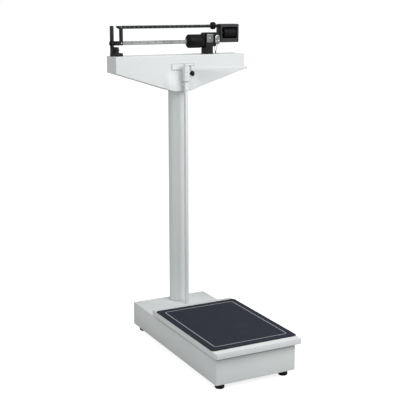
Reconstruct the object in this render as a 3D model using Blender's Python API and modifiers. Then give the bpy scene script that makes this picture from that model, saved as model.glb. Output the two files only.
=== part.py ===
"""Physician beam scale: platform, lever base, column, beam head and height rod.

Units are metres, +Z is up, the platform is at the front (-Y) and the column at the
back.  The origin is on the floor, under the middle of the whole scale.
"""
import math

import bmesh
import bpy
from mathutils import Matrix, Vector

for old in list(bpy.data.objects):
    bpy.data.objects.remove(old, do_unlink=True)

# ---------------------------------------------------------------- driving sizes
GAP = 0.0003            # between touching pieces
SHEET = 0.002           # folded sheet steel

BASE_X = -0.0205        # the base sits a little to the left of the column
BASE_HALF = 0.1786
BASE_FRONT = -0.388
BASE_BACK = 0.405
BASE_BOTTOM = 0.0245
SHELF_Z = 0.1275        # top of the base behind the platform

FOOT_R = 0.019
FOOT_INSET = 0.035

COVER_HALF = 0.191
COVER_FRONT = -0.4095
COVER_BACK = 0.169
LIP_BOTTOM = 0.1378
COVER_TOP = 0.1635
MAT_HALF = 0.1903
MAT_FRONT = -0.380
MAT_BACK = 0.1347
MAT_TOP = 0.1675
MAT_CORNER = 0.012

COLUMN_X = 0.002
COLUMN_Y = 0.358
COLUMN_R = 0.038
COLUMN_WALL = 0.0025
COLUMN_TOP = 1.150

HEAD_LEFT = -0.3045     # head sizes along X are counted from the column axis
HEAD_RIGHT = 0.3085
HEAD_HALF = 0.0514      # half the depth of the head
HEAD_TOP = 1.2335
HEAD_END = 1.164        # bottom of the end faces
HEAD_NECK = 1.081       # bottom of the V
NECK_HALF = 0.040

PIVOT_X = 0.149         # beam fulcrum, from the column axis
PIVOT_Z = 1.300
LOAD_ARM = 0.042        # fulcrum to load knife edge
LOWER_BAR_Z = (1.279, 1.2965)
UPPER_BAR_Z = (1.347, 1.360)
BAR_HALF = 0.003
BAR_LEFT = -0.2515

TRANSFER_PIVOT_X = -0.090
TRANSFER_Z = (1.184, 1.204)

LONG_PIVOT_Y = -0.330
LONG_LOAD_ARM = 0.075
LONG_Z = (0.070, 0.086)
SHORT_PIVOT_Y = 0.125
SHORT_NOSE_Y = -0.075
SHORT_Z = (0.094, 0.108)
LEVER_HALF = 0.135      # half the width of a lever across its fulcrum

ROD_X = 0.0068
ROD_Y = COLUMN_Y - 0.0826
ROD_HALF = 0.007
ROD_TOP = 1.188
RULE_HALF = 0.005
RULE_BOTTOM = 0.150
BLADE_PIVOT = 0.026     # right of the rod's middle
BLADE_LENGTH = 0.250
BLADE_ANGLE = math.radians(-12)
KNOB_Z = 1.157

# ------------------------------------------------------------------ collections
scene = bpy.context.scene
parts = bpy.data.collections.new("physician_beam_scale")
cutters = bpy.data.collections.new("cutters")
scene.collection.children.link(parts)
scene.collection.children.link(cutters)


def finish(name, colour, roughness, metallic):
    """A Principled material."""
    material = bpy.data.materials.new(name)
    material.use_nodes = True
    shader = material.node_tree.nodes["Principled BSDF"]
    shader.inputs["Base Color"].default_value = (*colour, 1.0)
    shader.inputs["Roughness"].default_value = roughness
    shader.inputs["Metallic"].default_value = metallic
    return material


WHITE = finish("white_paint", (0.82, 0.84, 0.84), 0.38, 0.0)
BLACK = finish("black_enamel", (0.018, 0.018, 0.020), 0.35, 0.0)
STEEL = finish("bright_steel", (0.62, 0.63, 0.63), 0.28, 1.0)
IRON = finish("grey_iron", (0.16, 0.17, 0.18), 0.55, 0.6)
ALUMINIUM = finish("rule_aluminium", (0.70, 0.71, 0.72), 0.35, 1.0)
MAT = finish("mat_rubber", (0.030, 0.032, 0.045), 0.75, 0.0)
RUBBER = finish("foot_rubber", (0.015, 0.015, 0.015), 0.8, 0.0)
KNOB = finish("knob_plastic", (0.012, 0.012, 0.012), 0.3, 0.0)
LABEL = finish("label_plastic", (0.74, 0.77, 0.80), 0.3, 0.0)


# ---------------------------------------------------------------------- helpers
def add(name, mesh, material, place=(0, 0, 0), turn=(0, 0, 0)):
    """Put a mesh in the scene as a named object."""
    thing = bpy.data.objects.new(name, mesh)
    thing.location = place
    thing.rotation_euler = turn
    mesh.materials.append(material)
    parts.objects.link(thing)
    return thing


def block(name, low, high, material=IRON, bevel=0.0, segments=1):
    """A box between two corners, with its origin at its middle."""
    size = Vector(high) - Vector(low)
    mesh = bpy.data.meshes.new(name)
    bm = bmesh.new()
    bmesh.ops.create_cube(bm, size=1.0, matrix=Matrix.Diagonal((*size, 1.0)))
    bm.to_mesh(mesh)
    bm.free()
    thing = add(name, mesh, material, place=(Vector(low) + Vector(high)) / 2)
    if bevel:
        rounded(thing, bevel, segments)
    return thing


def rounded(thing, width, segments=1):
    """Round the edges of a piece."""
    edge = thing.modifiers.new("edges", "BEVEL")
    edge.width = width
    edge.segments = segments
    edge.limit_method = "ANGLE"
    edge.angle_limit = math.radians(40)


def smooth(mesh):
    """Smooth shading with sharp corners kept."""
    mesh.shade_smooth()
    mesh.set_sharp_from_angle(angle=math.radians(35))


TURNS = {
    "X": (0, math.pi / 2, 0),
    "Y": (-math.pi / 2, 0, 0),
    "Z": (0, 0, 0),
}


def rod(name, place, radius, length, axis="Z", material=STEEL, sides=20):
    """A solid cylinder about its middle."""
    mesh = bpy.data.meshes.new(name)
    bm = bmesh.new()
    bmesh.ops.create_cone(
        bm, cap_ends=True, segments=sides, radius1=radius, radius2=radius, depth=length)
    bm.to_mesh(mesh)
    bm.free()
    smooth(mesh)
    return add(name, mesh, material, place=place, turn=TURNS[axis])


def turned(name, profile, place, axis="Z", material=STEEL, steps=32):
    """A piece turned on a lathe: profile is (radius, height) from the top down."""
    mesh = bpy.data.meshes.new(name)
    points = [(radius, 0, height) for radius, height in profile]
    mesh.from_pydata(points, [(i, i + 1) for i in range(len(points) - 1)], [])
    thing = add(name, mesh, material, place=place, turn=TURNS[axis])
    screw = thing.modifiers.new("lathe", "SCREW")
    screw.steps = steps
    screw.render_steps = steps
    screw.use_merge_vertices = True
    screw.merge_threshold = 0.00001
    return thing


PLANES = {
    "XY": (0, 0, 0),
    "XZ": (math.pi / 2, 0, 0),
    "YZ": (math.pi / 2, 0, math.pi / 2),
}


def plate(name, outlines, thickness, place, plane="XY", material=IRON):
    """A flat outline with its holes, given a thickness about its own plane."""
    curve = bpy.data.curves.new(name, "CURVE")
    curve.dimensions = "2D"
    curve.fill_mode = "BOTH"
    curve.extrude = thickness / 2
    for outline in outlines:
        spline = curve.splines.new("POLY")
        spline.points.add(len(outline) - 1)
        for point, (x, y) in zip(spline.points, outline):
            point.co = (x, y, 0, 1)
        spline.use_cyclic_u = True
    drawn = bpy.data.objects.new(name, curve)
    parts.objects.link(drawn)
    bpy.context.view_layer.update()
    shape = drawn.evaluated_get(bpy.context.evaluated_depsgraph_get())
    mesh = bpy.data.meshes.new_from_object(shape)
    bpy.data.objects.remove(drawn, do_unlink=True)
    bm = bmesh.new()
    bm.from_mesh(mesh)
    bmesh.ops.remove_doubles(bm, verts=bm.verts, dist=0.00001)
    bm.to_mesh(mesh)
    bm.free()
    mesh.name = name
    return add(name, mesh, material, place=place, turn=PLANES[plane])


def arc(centre, radius, start, stop, steps):
    """Points along an arc, in degrees."""
    angles = [math.radians(start + (stop - start) * i / steps) for i in range(steps + 1)]
    return [(centre[0] + radius * math.cos(a), centre[1] + radius * math.sin(a)) for a in angles]


def rounded_rectangle(half_x, low_y, high_y, radius, steps=4):
    """A rectangle with round corners, as an outline."""
    corners = [
        ((half_x - radius, high_y - radius), 0),
        ((radius - half_x, high_y - radius), 90),
        ((radius - half_x, low_y + radius), 180),
        ((half_x - radius, low_y + radius), 270),
    ]
    return [p for centre, start in corners for p in arc(centre, radius, start, start + 90, steps)]


def rectangle(low_x, low_y, high_x, high_y):
    """A plain rectangle, as an outline."""
    return [(low_x, low_y), (high_x, low_y), (high_x, high_y), (low_x, high_y)]


def operate(thing, other, operation):
    """Cut another shape out of a piece, or weld it on."""
    for collection in list(other.users_collection):
        collection.objects.unlink(other)
    cutters.objects.link(other)
    other.hide_render = True
    other.display_type = "WIRE"
    step = thing.modifiers.new(other.name, "BOOLEAN")
    step.operation = operation
    step.solver = "EXACT"
    step.object = other


def cut(thing, *others):
    """Take other shapes away from a piece."""
    for other in others:
        operate(thing, other, "DIFFERENCE")


def weld(thing, *others):
    """Join other shapes to a piece."""
    for other in others:
        operate(thing, other, "UNION")


def body(name, axis_point, members):
    """Hang the pieces of one moving body on an empty that stands on its joint's axis."""
    empty = bpy.data.objects.new(name, None)
    empty.location = axis_point
    parts.objects.link(empty)
    for member in members:
        member.parent = empty
        member.matrix_parent_inverse = Matrix.Translation(-Vector(axis_point))


def hx(x):
    """A place along the head, counted from the column axis."""
    return COLUMN_X + x


def head_block(name, x, y, z, material=BLACK, bevel=0.0, segments=1):
    """A box on the head: x and y are (low, high), counted from the column axis."""
    low = (hx(x[0]), COLUMN_Y + y[0], z[0])
    high = (hx(x[1]), COLUMN_Y + y[1], z[1])
    return block(name, low, high, material, bevel, segments)


# ------------------------------------------------------------------------- base
def make_base():
    """The sheet-steel box, open below, with a window in its top under the platform."""
    box = block(
        "base_box",
        (BASE_X - BASE_HALF, BASE_FRONT, BASE_BOTTOM),
        (BASE_X + BASE_HALF, BASE_BACK, SHELF_Z),
        WHITE, 0.003, 2)
    inside = block(
        "base_inside",
        (BASE_X - BASE_HALF + SHEET, BASE_FRONT + SHEET, BASE_BOTTOM + SHEET),
        (BASE_X + BASE_HALF - SHEET, BASE_BACK - SHEET, SHELF_Z - SHEET))
    flange = 0.045
    below = block(
        "base_below",
        (BASE_X - BASE_HALF + flange, BASE_FRONT + flange, BASE_BOTTOM - 0.01),
        (BASE_X + BASE_HALF - flange, BASE_BACK - flange, BASE_BOTTOM + 0.01))
    rim = 0.018
    window = block(
        "base_window",
        (BASE_X - BASE_HALF + rim, BASE_FRONT + rim, SHELF_Z - 0.01),
        (BASE_X + BASE_HALF - rim, COVER_BACK - rim, SHELF_Z + 0.01))
    hole = rod("base_column_hole", (COLUMN_X, COLUMN_Y, SHELF_Z), COLUMN_R + GAP, 0.03, sides=48)
    cut(box, inside, below, window, hole)


def make_feet():
    """Four rubber feet, each held by its bolt."""
    names = [(-1, -1, "front_left"), (1, -1, "front_right"), (-1, 1, "rear_left"), (1, 1, "rear_right")]
    for side_x, side_y, corner in names:
        x = BASE_X + side_x * (BASE_HALF - FOOT_INSET)
        y = BASE_FRONT + FOOT_INSET if side_y < 0 else BASE_BACK - FOOT_INSET
        top = BASE_BOTTOM - GAP
        profile = [(0, top), (FOOT_R, top), (FOOT_R, 0.003), (FOOT_R - 0.002, 0.0), (0, 0.0)]
        foot = turned(f"foot_{corner}", profile, (x, y, 0), material=RUBBER, steps=24)
        cut(foot, rod(f"foot_bore_{corner}", (x, y, 0.016), 0.0043, 0.024, sides=12))
        bolt_profile = [(0, 0.0335), (0.0075, 0.0335), (0.0075, BASE_BOTTOM + SHEET + GAP),
                        (0.004, BASE_BOTTOM + SHEET + GAP), (0.004, 0.006), (0, 0.006)]
        turned(f"foot_bolt_{corner}", bolt_profile, (x, y, 0), steps=12)
        cut(bpy.data.objects["base_box"],
            rod(f"foot_hole_{corner}", (x, y, BASE_BOTTOM), 0.0043, 0.02, sides=12))


def cradle(name, y, post_top):
    """A cross bar between the base's side flanges, with a post under each knife end."""
    low = BASE_BOTTOM + SHEET + GAP
    half = BASE_HALF - SHEET - GAP
    bar = block(name, (BASE_X - half, y - 0.014, low), (BASE_X + half, y + 0.014, low + 0.008))
    for side in (-1, 1):
        x = BASE_X + side * (LEVER_HALF + 0.010)
        post = block(
            f"{name}_post_{side}", (x - 0.007, y - 0.011, low + 0.004), (x + 0.007, y + 0.011, post_top))
        weld(bar, post)


def lever_outline(pivot_y, nose_y, nose_x):
    """The A shape of a platform lever with its windows, from fulcrum bar to nose."""
    toward = 1 if nose_y > pivot_y else -1
    back = pivot_y - toward * 0.012
    return [
        (BASE_X - LEVER_HALF, back),
        (BASE_X + LEVER_HALF, back),
        (BASE_X + LEVER_HALF, pivot_y + toward * LONG_LOAD_ARM * 0.9),
        (nose_x + 0.011, nose_y - toward * 0.012),
        (nose_x + 0.011, nose_y + toward * 0.010),
        (nose_x - 0.011, nose_y + toward * 0.010),
        (nose_x - 0.011, nose_y - toward * 0.012),
        (BASE_X - LEVER_HALF, pivot_y + toward * LONG_LOAD_ARM * 0.9),
    ]


def make_platform_levers():
    """Long and short lever with their knife edges, and the link between them."""
    long_outer = lever_outline(LONG_PIVOT_Y, COLUMN_Y, COLUMN_X)
    rear = SHORT_NOSE_Y + 0.016
    reach = COLUMN_Y - LONG_PIVOT_Y

    def inner_half(y):
        return (LEVER_HALF - 0.034) * (COLUMN_Y - y) / reach

    front_window = [
        (BASE_X - inner_half(-0.30), -0.300), (BASE_X + inner_half(-0.30), -0.300),
        (BASE_X + inner_half(-0.10), -0.100), (BASE_X - inner_half(-0.10), -0.100)]
    rear_window = [
        (BASE_X - inner_half(rear), rear), (BASE_X + inner_half(rear), rear),
        (BASE_X + inner_half(0.20) + 0.008, 0.200), (BASE_X - inner_half(0.20) + 0.014, 0.200)]
    middle = sum(LONG_Z) / 2
    long_lever = plate(
        "long_lever", [long_outer, front_window, rear_window],
        LONG_Z[1] - LONG_Z[0], (0, 0, middle))
    knife_half = LEVER_HALF + 0.018
    fulcrum_knife = rod(
        "long_fulcrum_knife", (BASE_X, LONG_PIVOT_Y, middle), 0.005, 2 * knife_half, "X", sides=8)
    load_y = LONG_PIVOT_Y + LONG_LOAD_ARM
    load_knife = rod(
        "long_load_knife", (BASE_X, load_y, middle), 0.005, 2 * knife_half, "X", sides=8)
    weld(long_lever, fulcrum_knife, load_knife)

    short_outer = lever_outline(SHORT_PIVOT_Y, SHORT_NOSE_Y, BASE_X)
    short_window = [
        (BASE_X - 0.085, 0.095), (BASE_X + 0.085, 0.095),
        (BASE_X + 0.060, 0.045), (BASE_X + 0.012, -0.030),
        (BASE_X - 0.012, -0.030), (BASE_X - 0.060, 0.045)]
    middle_short = sum(SHORT_Z) / 2
    short_lever = plate(
        "short_lever", [short_outer, short_window],
        SHORT_Z[1] - SHORT_Z[0], (0, 0, middle_short))
    short_knife = rod(
        "short_fulcrum_knife", (BASE_X, SHORT_PIVOT_Y, middle_short), 0.005, 2 * knife_half, "X", sides=8)
    short_load = rod(
        "short_load_knife", (BASE_X, short_load_y(), middle_short), 0.005, 2 * knife_half, "X", sides=8)
    weld(short_lever, short_knife, short_load)

    link_z = (LONG_Z[0] - 0.008, SHORT_Z[1] + 0.008)
    link = plate(
        "lever_link",
        [rectangle(-0.018, link_z[0], 0.018, link_z[1]),
         rectangle(-0.0125, LONG_Z[0] - GAP, 0.0125, SHORT_Z[1] + GAP)],
        0.008, (BASE_X, SHORT_NOSE_Y, 0), "XZ", STEEL)
    slot = block(
        "long_lever_link_slots",
        (BASE_X - 0.0190, SHORT_NOSE_Y - 0.0045, 0.06), (BASE_X - 0.0120, SHORT_NOSE_Y + 0.0045, 0.09))
    slot_right = block(
        "long_lever_link_slot_right",
        (BASE_X + 0.0120, SHORT_NOSE_Y - 0.0045, 0.06), (BASE_X + 0.0190, SHORT_NOSE_Y + 0.0045, 0.09))
    cut(long_lever, slot, slot_right)
    body("long_lever_axis", (BASE_X, LONG_PIVOT_Y, middle), [long_lever, link])
    body("short_lever_axis", (BASE_X, SHORT_PIVOT_Y, middle_short), [short_lever])


def short_load_y():
    """Where the short lever carries the platform, for the same travel as the long one."""
    coupling_arm = SHORT_NOSE_Y - LONG_PIVOT_Y
    short_reach = SHORT_PIVOT_Y - SHORT_NOSE_Y
    return SHORT_PIVOT_Y - LONG_LOAD_ARM * short_reach / coupling_arm


def make_platform():
    """Carrier with four legs, folded cover and rubber mat."""
    top = COVER_TOP - SHEET - GAP
    bottom = 0.1480
    half = COVER_HALF - SHEET - 0.012
    front = COVER_FRONT + SHEET + 0.012
    back = COVER_BACK - SHEET - 0.012
    width = 0.026
    ladder = [rectangle(BASE_X - half, front, BASE_X + half, back)]
    bars = [front, LONG_PIVOT_Y + LONG_LOAD_ARM - width / 2, short_load_y() - width / 2, back - width]
    for near, far in zip(bars, bars[1:]):
        ladder.append(rectangle(BASE_X - half + width, near + width, BASE_X + half - width, far))
    carrier = plate("platform_carrier", ladder, top - bottom, (0, 0, (top + bottom) / 2))
    seats = ((LONG_PIVOT_Y + LONG_LOAD_ARM, LONG_Z), (short_load_y(), SHORT_Z))
    for row, (y, lever_z) in enumerate(seats):
        for side in (-1, 1):
            x = BASE_X + side * (LEVER_HALF + 0.010)
            seat = sum(lever_z) / 2 + 0.005 + GAP
            leg = block(
                f"platform_leg_{row}_{side}", (x - 0.007, y - 0.010, seat), (x + 0.007, y + 0.010, bottom + 0.01))
            weld(carrier, leg)
    cover = block(
        "platform_cover",
        (BASE_X - COVER_HALF, COVER_FRONT, LIP_BOTTOM),
        (BASE_X + COVER_HALF, COVER_BACK, COVER_TOP), WHITE, 0.003, 2)
    cut(cover, block(
        "cover_inside",
        (BASE_X - COVER_HALF + SHEET, COVER_FRONT + SHEET, LIP_BOTTOM - 0.01),
        (BASE_X + COVER_HALF - SHEET, COVER_BACK - SHEET, COVER_TOP - SHEET)))
    mat_low = COVER_TOP + GAP
    mat = plate(
        "platform_mat", [rounded_rectangle(MAT_HALF, MAT_FRONT, MAT_BACK, MAT_CORNER)],
        MAT_TOP - mat_low, (BASE_X, 0, (MAT_TOP + mat_low) / 2), material=MAT)
    body("platform_axis", (BASE_X, (MAT_FRONT + MAT_BACK) / 2, MAT_TOP), [carrier, cover, mat])


# ----------------------------------------------------------------------- column
def make_column():
    """The tube, the flange that clamps it under the shelf, and the flange's studs."""
    place = (COLUMN_X, COLUMN_Y, 0)
    bore = COLUMN_R - COLUMN_WALL
    foot = SHELF_Z - 0.031
    tube = rod(
        "column_tube", (COLUMN_X, COLUMN_Y, (COLUMN_TOP + foot) / 2), COLUMN_R, COLUMN_TOP - foot,
        material=WHITE, sides=48)
    cut(tube, rod(
        "column_bore", (COLUMN_X, COLUMN_Y, (COLUMN_TOP + foot) / 2), bore, COLUMN_TOP - foot + 0.02,
        sides=48))
    under = SHELF_Z - SHEET - GAP
    flange = block(
        "column_flange", (COLUMN_X - 0.065, COLUMN_Y - 0.065, under - 0.006),
        (COLUMN_X + 0.065, COLUMN_Y + 0.043, under))
    socket = rod(
        "flange_socket", (COLUMN_X, COLUMN_Y, under - 0.014), COLUMN_R + 0.0048, 0.022, sides=32)
    hole = rod("flange_hole", (COLUMN_X, COLUMN_Y, under - 0.01), COLUMN_R + GAP, 0.05, sides=48)
    weld(flange, socket)
    cut(flange, hole)
    for number, (x, y) in enumerate(((-0.054, -0.054), (0.054, 0.033))):
        profile = [(0, under - 0.0003), (0.003, under - 0.0003), (0.003, under - 0.0063),
                   (0.0065, under - 0.0063), (0.0065, under - 0.0120), (0, under - 0.0120)]
        turned(f"column_stud_{number + 1}", profile, (place[0] + x, place[1] + y, 0), steps=12)
        cut(flange, rod(
            f"stud_hole_{number}", (place[0] + x, place[1] + y, under), 0.0033, 0.02, sides=12))


# ------------------------------------------------------------------------- head
def head_outline(inset=0.0):
    """The V-shaped front of the head, in x and z counted from the column axis."""
    return [
        (HEAD_LEFT + inset, HEAD_TOP - inset), (HEAD_LEFT + inset, HEAD_END + inset * 0.7),
        (-NECK_HALF, HEAD_NECK + inset), (NECK_HALF, HEAD_NECK + inset),
        (HEAD_RIGHT - inset, HEAD_END + inset * 0.7), (HEAD_RIGHT - inset, HEAD_TOP - inset),
    ]


def make_head_housing():
    """Folded housing with a rounded hood round the column, and its rear cover."""
    housing = plate(
        "head_housing", [head_outline()], 2 * HEAD_HALF - 0.0023,
        (COLUMN_X, COLUMN_Y - 0.00115, 0), "XZ", WHITE)
    hood_profile = [(0, 1.172), (0.040, 1.168), (0.058, 1.140), (0.0600, HEAD_NECK), (0, HEAD_NECK)]
    hood = turned("head_hood", hood_profile, (COLUMN_X, COLUMN_Y, 0), steps=48, material=WHITE)
    hollow_profile = [(0, 1.169), (0.038, 1.165), (0.056, 1.139), (0.058, HEAD_NECK + SHEET),
                      (0, HEAD_NECK + SHEET)]
    hollow = turned("head_hood_hollow", hollow_profile, (COLUMN_X, COLUMN_Y, 0), steps=48)
    inside = plate(
        "head_inside", [head_outline(SHEET)], 2 * HEAD_HALF,
        (COLUMN_X, COLUMN_Y + SHEET, 0), "XZ")
    neck = rod(
        "head_neck_hole", (COLUMN_X, COLUMN_Y, HEAD_NECK), COLUMN_R + GAP, 0.02, sides=48)
    slot = head_block("head_rod_slot", (0.178, 0.204), (-0.012, 0.012), (HEAD_TOP - 0.01, HEAD_TOP + 0.01))
    rear = head_block("head_rear_trim", (-0.07, 0.07), (HEAD_HALF - 0.0023, 0.08), (1.07, 1.18))
    weld(housing, hood)
    cut(housing, inside, hollow, neck, slot, rear)
    cover = plate(
        "head_back_cover", [head_outline()], SHEET,
        (COLUMN_X, COLUMN_Y + HEAD_HALF - SHEET / 2, 0), "XZ", WHITE)
    rounded(cover, 0.0006)
    for number, (x, z) in enumerate(((-0.285, 1.195), (0.289, 1.195))):
        y = COLUMN_Y + HEAD_HALF
        cut(cover, rod(f"cover_screw_hole_{number}", (hx(x), y, z), 0.0024, 0.02, "Y", sides=12))
        turned(
            f"back_cover_screw_{number + 1}",
            [(0, 0.0), (0.002, 0.0), (0.002, -0.012), (0.0, -0.012)],
            (hx(x), y - 0.0003, z), "Y", STEEL, 12)
        lug = head_block(
            f"cover_lug_{number}", (x - 0.009, x + 0.009), (HEAD_HALF - 0.0105, HEAD_HALF - 0.0023),
            (z - 0.009, z + 0.009), WHITE)
        side = head_block(
            f"cover_lug_arm_{number}",
            (HEAD_LEFT + 0.001, x) if x < 0 else (x, HEAD_RIGHT - 0.001),
            (HEAD_HALF - 0.0105, HEAD_HALF - 0.0085), (z - 0.009, z + 0.009), WHITE)
        weld(housing, lug, side)
        cut(housing, rod(
            f"lug_hole_{number}", (hx(x), y - 0.008, z), 0.0024, 0.03, "Y", sides=12))


def make_head_saddle():
    """The bracket on the column's top that carries the housing and the lever's fulcrum."""
    top = COLUMN_TOP
    saddle = head_block(
        "column_saddle", (-0.118, 0.060), (-0.040, 0.040), (top + GAP, top + 0.006), IRON)
    collar = rod(
        "saddle_socket", (COLUMN_X, COLUMN_Y, top - 0.008), COLUMN_R - COLUMN_WALL - GAP, 0.020, sides=32)
    weld(saddle, collar)
    cut(saddle, rod("saddle_hole", (COLUMN_X, COLUMN_Y, top), 0.024, 0.06, sides=24))
    hanger = plate(
        "transfer_fulcrum_stand",
        [[(-0.034, top + 0.0063), (0.034, top + 0.0063), (0.034, 1.206), (0.022, 1.206),
          (0.022, top + 0.014), (-0.022, top + 0.014), (-0.022, 1.206), (-0.034, 1.206)]],
        0.018, (hx(TRANSFER_PIVOT_X), COLUMN_Y, 0), "YZ")
    cut(hanger, rod(
        "transfer_fulcrum_bore", (hx(TRANSFER_PIVOT_X), COLUMN_Y, 1.194), 0.0053, 0.1, "Y", sides=16))


def make_label():
    """The blank plate on the head's front."""
    head_block(
        "label_plate", (-0.0505, 0.0620), (-HEAD_HALF - 0.0015 - GAP, -HEAD_HALF - GAP),
        (1.1705, 1.2000), LABEL, 0.0005)


def make_fulcrum_stand():
    """The black fork that carries the beam, and the two plates over its bearings."""
    foot = HEAD_TOP + GAP
    stand = plate(
        "fulcrum_stand",
        [[(-0.0245, foot), (0.0245, foot), (0.0245, 1.3250), (0.0165, 1.3250),
          (0.0165, 1.2600), (-0.0165, 1.2600), (-0.0165, 1.3250), (-0.0245, 1.3250)]],
        0.033, (hx(PIVOT_X), COLUMN_Y, 0), "YZ", BLACK)
    cut(stand, rod(
        "fulcrum_bearing_bore", (hx(PIVOT_X), COLUMN_Y, PIVOT_Z), 0.0063, 0.1, "Y", sides=20))
    for side, where in ((-1, "front"), (1, "rear")):
        outer = sorted((side * (0.0245 + GAP), side * (0.0245 + GAP + 0.003)))
        head_block(
            f"bearing_plate_{where}", (PIVOT_X - 0.0155, PIVOT_X + 0.0155), outer,
            (PIVOT_Z - 0.0165, PIVOT_Z + 0.0185), STEEL, 0.0006)


def make_trig_loop():
    """The slotted post round the pointer, its bracket, and the beam's locking cam."""
    foot = HEAD_TOP + GAP
    plate(
        "trig_loop",
        [rectangle(-0.011, 1.2471, 0.011, 1.3600), rectangle(-0.0055, 1.2645, 0.0055, 1.3115)],
        0.009, (hx(-0.300), COLUMN_Y, 0), "YZ", BLACK)
    bracket = head_block("trig_bracket", (-0.3045, -0.2560), (-0.014, 0.014), (foot, 1.2468))
    cheeks = head_block("trig_bracket_block", (-0.2952, -0.2745), (-0.014, 0.014), (1.2440, 1.2722))
    slot = head_block("trig_bracket_slot", (-0.2960, -0.2730), (-0.0072, 0.0072), (1.2520, 1.2800))
    centre = (hx(-0.2865), COLUMN_Y, 1.2597)
    weld(bracket, cheeks)
    cut(bracket, slot, rod("cam_bore", centre, 0.0037, 0.06, "Y", sides=16))
    lobe = arc((0, 0), 0.0062, 90, 270, 8) + arc((0.0140, 0), 0.0040, -90, 90, 6)
    cam = plate("lock_cam", [lobe], 0.012, centre, "XZ", BLACK)
    weld(cam, rod("cam_shaft", centre, 0.0033, 0.036, "Y", sides=16))
    weld(cam, rod("cam_button", (centre[0], COLUMN_Y - 0.0190, centre[2]), 0.0058, 0.006, "Y", sides=16))
    body("lock_cam_axis", centre, [cam])


# ------------------------------------------------------------------------- beam
def flat_bar(name, reach, z, material):
    """A flat bar of the beam."""
    return head_block(name, reach, (-BAR_HALF, BAR_HALF), z, material)


def make_beam():
    """The two bars between their castings, the knife edges and the balance weight."""
    end = plate(
        "beam_end_casting",
        [[(-0.2910, 1.2785), (BAR_LEFT - GAP, 1.2785), (BAR_LEFT - GAP, 1.3595),
          (-0.2790, 1.3595), (-0.2790, 1.3530), (-0.2650, 1.3450), (-0.2650, 1.2970), (-0.2910, 1.2970)]],
        0.012, (COLUMN_X, COLUMN_Y, 0), "XZ", BLACK)
    pointer = plate(
        "pointer",
        [[(-0.3125, 1.2870), (-0.3095, 1.2780), (-0.2913, 1.2780), (-0.2913, 1.2980), (-0.3095, 1.2980)]],
        0.006, (COLUMN_X, COLUMN_Y, 0), "XZ", BLACK)
    rivets = [
        rod("rivet_lower", (hx(-0.2590), COLUMN_Y - 0.0068, 1.2870), 0.0035, 0.001, "Y", sides=12),
        rod("rivet_upper", (hx(-0.2590), COLUMN_Y - 0.0068, 1.3530), 0.0030, 0.001, "Y", sides=12),
    ]
    lower = flat_bar("lower_bar", (BAR_LEFT, 0.1220), LOWER_BAR_Z, STEEL)
    frame_left = 0.2085
    upper = flat_bar("upper_bar", (BAR_LEFT, frame_left - GAP), UPPER_BAR_Z, BLACK)
    centre = plate(
        "beam_centre_casting",
        [[(0.1220 + GAP, 1.2690), (0.1730, 1.2690), (0.1800, 1.2655), (0.1855, 1.2655),
          (0.1900, 1.2820), (frame_left - GAP, 1.2860), (frame_left - GAP, 1.3262),
          (0.1290, 1.3262), (0.1220 + GAP, 1.3190)]],
        0.026, (COLUMN_X, COLUMN_Y, 0), "XZ", BLACK)
    main_knife = rod(
        "main_knife_edge", (hx(PIVOT_X), COLUMN_Y, PIVOT_Z), 0.0059, 0.047, "Y", sides=16)
    load_x = hx(PIVOT_X + LOAD_ARM)
    load_knife = rod("load_knife_edge", (load_x, COLUMN_Y, PIVOT_Z - 0.001), 0.0050, 0.047, "Y", sides=16)
    cut(centre,
        rod("main_knife_hole", (hx(PIVOT_X), COLUMN_Y, PIVOT_Z), 0.0062, 0.06, "Y", sides=16),
        rod("load_knife_hole", (load_x, COLUMN_Y, PIVOT_Z - 0.001), 0.0053, 0.06, "Y", sides=16))
    frame_right = 0.2978
    frame_y = (-0.0180, 0.0265)
    window = (0.2145, 0.2905)
    frame = head_block("counterweight_frame", (frame_left, frame_right), frame_y, (1.2820, 1.3620))
    pocket = head_block("counterweight_pocket", window, (-0.0300, 0.0240), (1.2992, 1.3488))
    screw_z = 1.3240
    weight_x = 0.2545
    cut(frame, pocket, rod("screw_hole", (hx(weight_x), COLUMN_Y, screw_z), 0.0033, 0.2, "X", sides=12))
    screw = turned(
        "balance_screw",
        [(0, 0.2985), (0.0055, 0.2985), (0.0055, 0.2979), (0.003, 0.2979), (0.003, 0.2180),
         (0.005, 0.2180), (0.005, 0.2150), (0.003, 0.2150), (0.003, 0.2110), (0, 0.2110)],
        (COLUMN_X, COLUMN_Y, screw_z), "X", STEEL, 12)
    half, radius, edge = 0.0290, 0.0225, 0.0015
    weight = turned(
        "balance_weight",
        [(0, half), (radius - edge, half), (radius, half - edge), (radius, edge - half),
         (radius - edge, -half), (0, -half)],
        (hx(weight_x), COLUMN_Y, screw_z), "X", BLACK, 32)
    cut(weight, rod("weight_bore", (hx(weight_x), COLUMN_Y, screw_z), 0.0033, 0.08, "X", sides=12))
    axis = (hx(PIVOT_X), COLUMN_Y, PIVOT_Z)
    body("beam_axis", axis, [
        end, pointer, *rivets, lower, upper, centre, main_knife, load_knife, frame, screw])
    body("balance_weight_axis", (hx(weight_x), COLUMN_Y, screw_z), [weight])


def poise(name, centre_x, length, radius, bar_z, centre_z, chamfer, steps, dome=0.0):
    """A cylinder that runs along a bar of the beam; its left end may be domed."""
    half = length / 2
    profile = [(0, half), (radius - chamfer, half), (radius, half - chamfer)]
    if dome:
        angles = [math.radians(a) for a in (0, 20, 40, 58, 74)]
        profile += [(radius * math.cos(a), -half - dome * math.sin(a)) for a in angles]
        profile.append((0, -half - dome * math.sin(angles[-1])))
    else:
        profile += [(radius, chamfer - half), (radius - chamfer, -half), (0, -half)]
    centre = (hx(centre_x), COLUMN_Y, centre_z)
    weight = turned(name, profile, centre, "X", BLACK, steps)
    play = 0.0006
    tunnel = head_block(
        f"{name}_tunnel", (centre_x - length, centre_x + length), (-BAR_HALF - play, BAR_HALF + play),
        (bar_z[0] - play, bar_z[1] + play))
    cut(weight, tunnel)
    return weight


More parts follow.
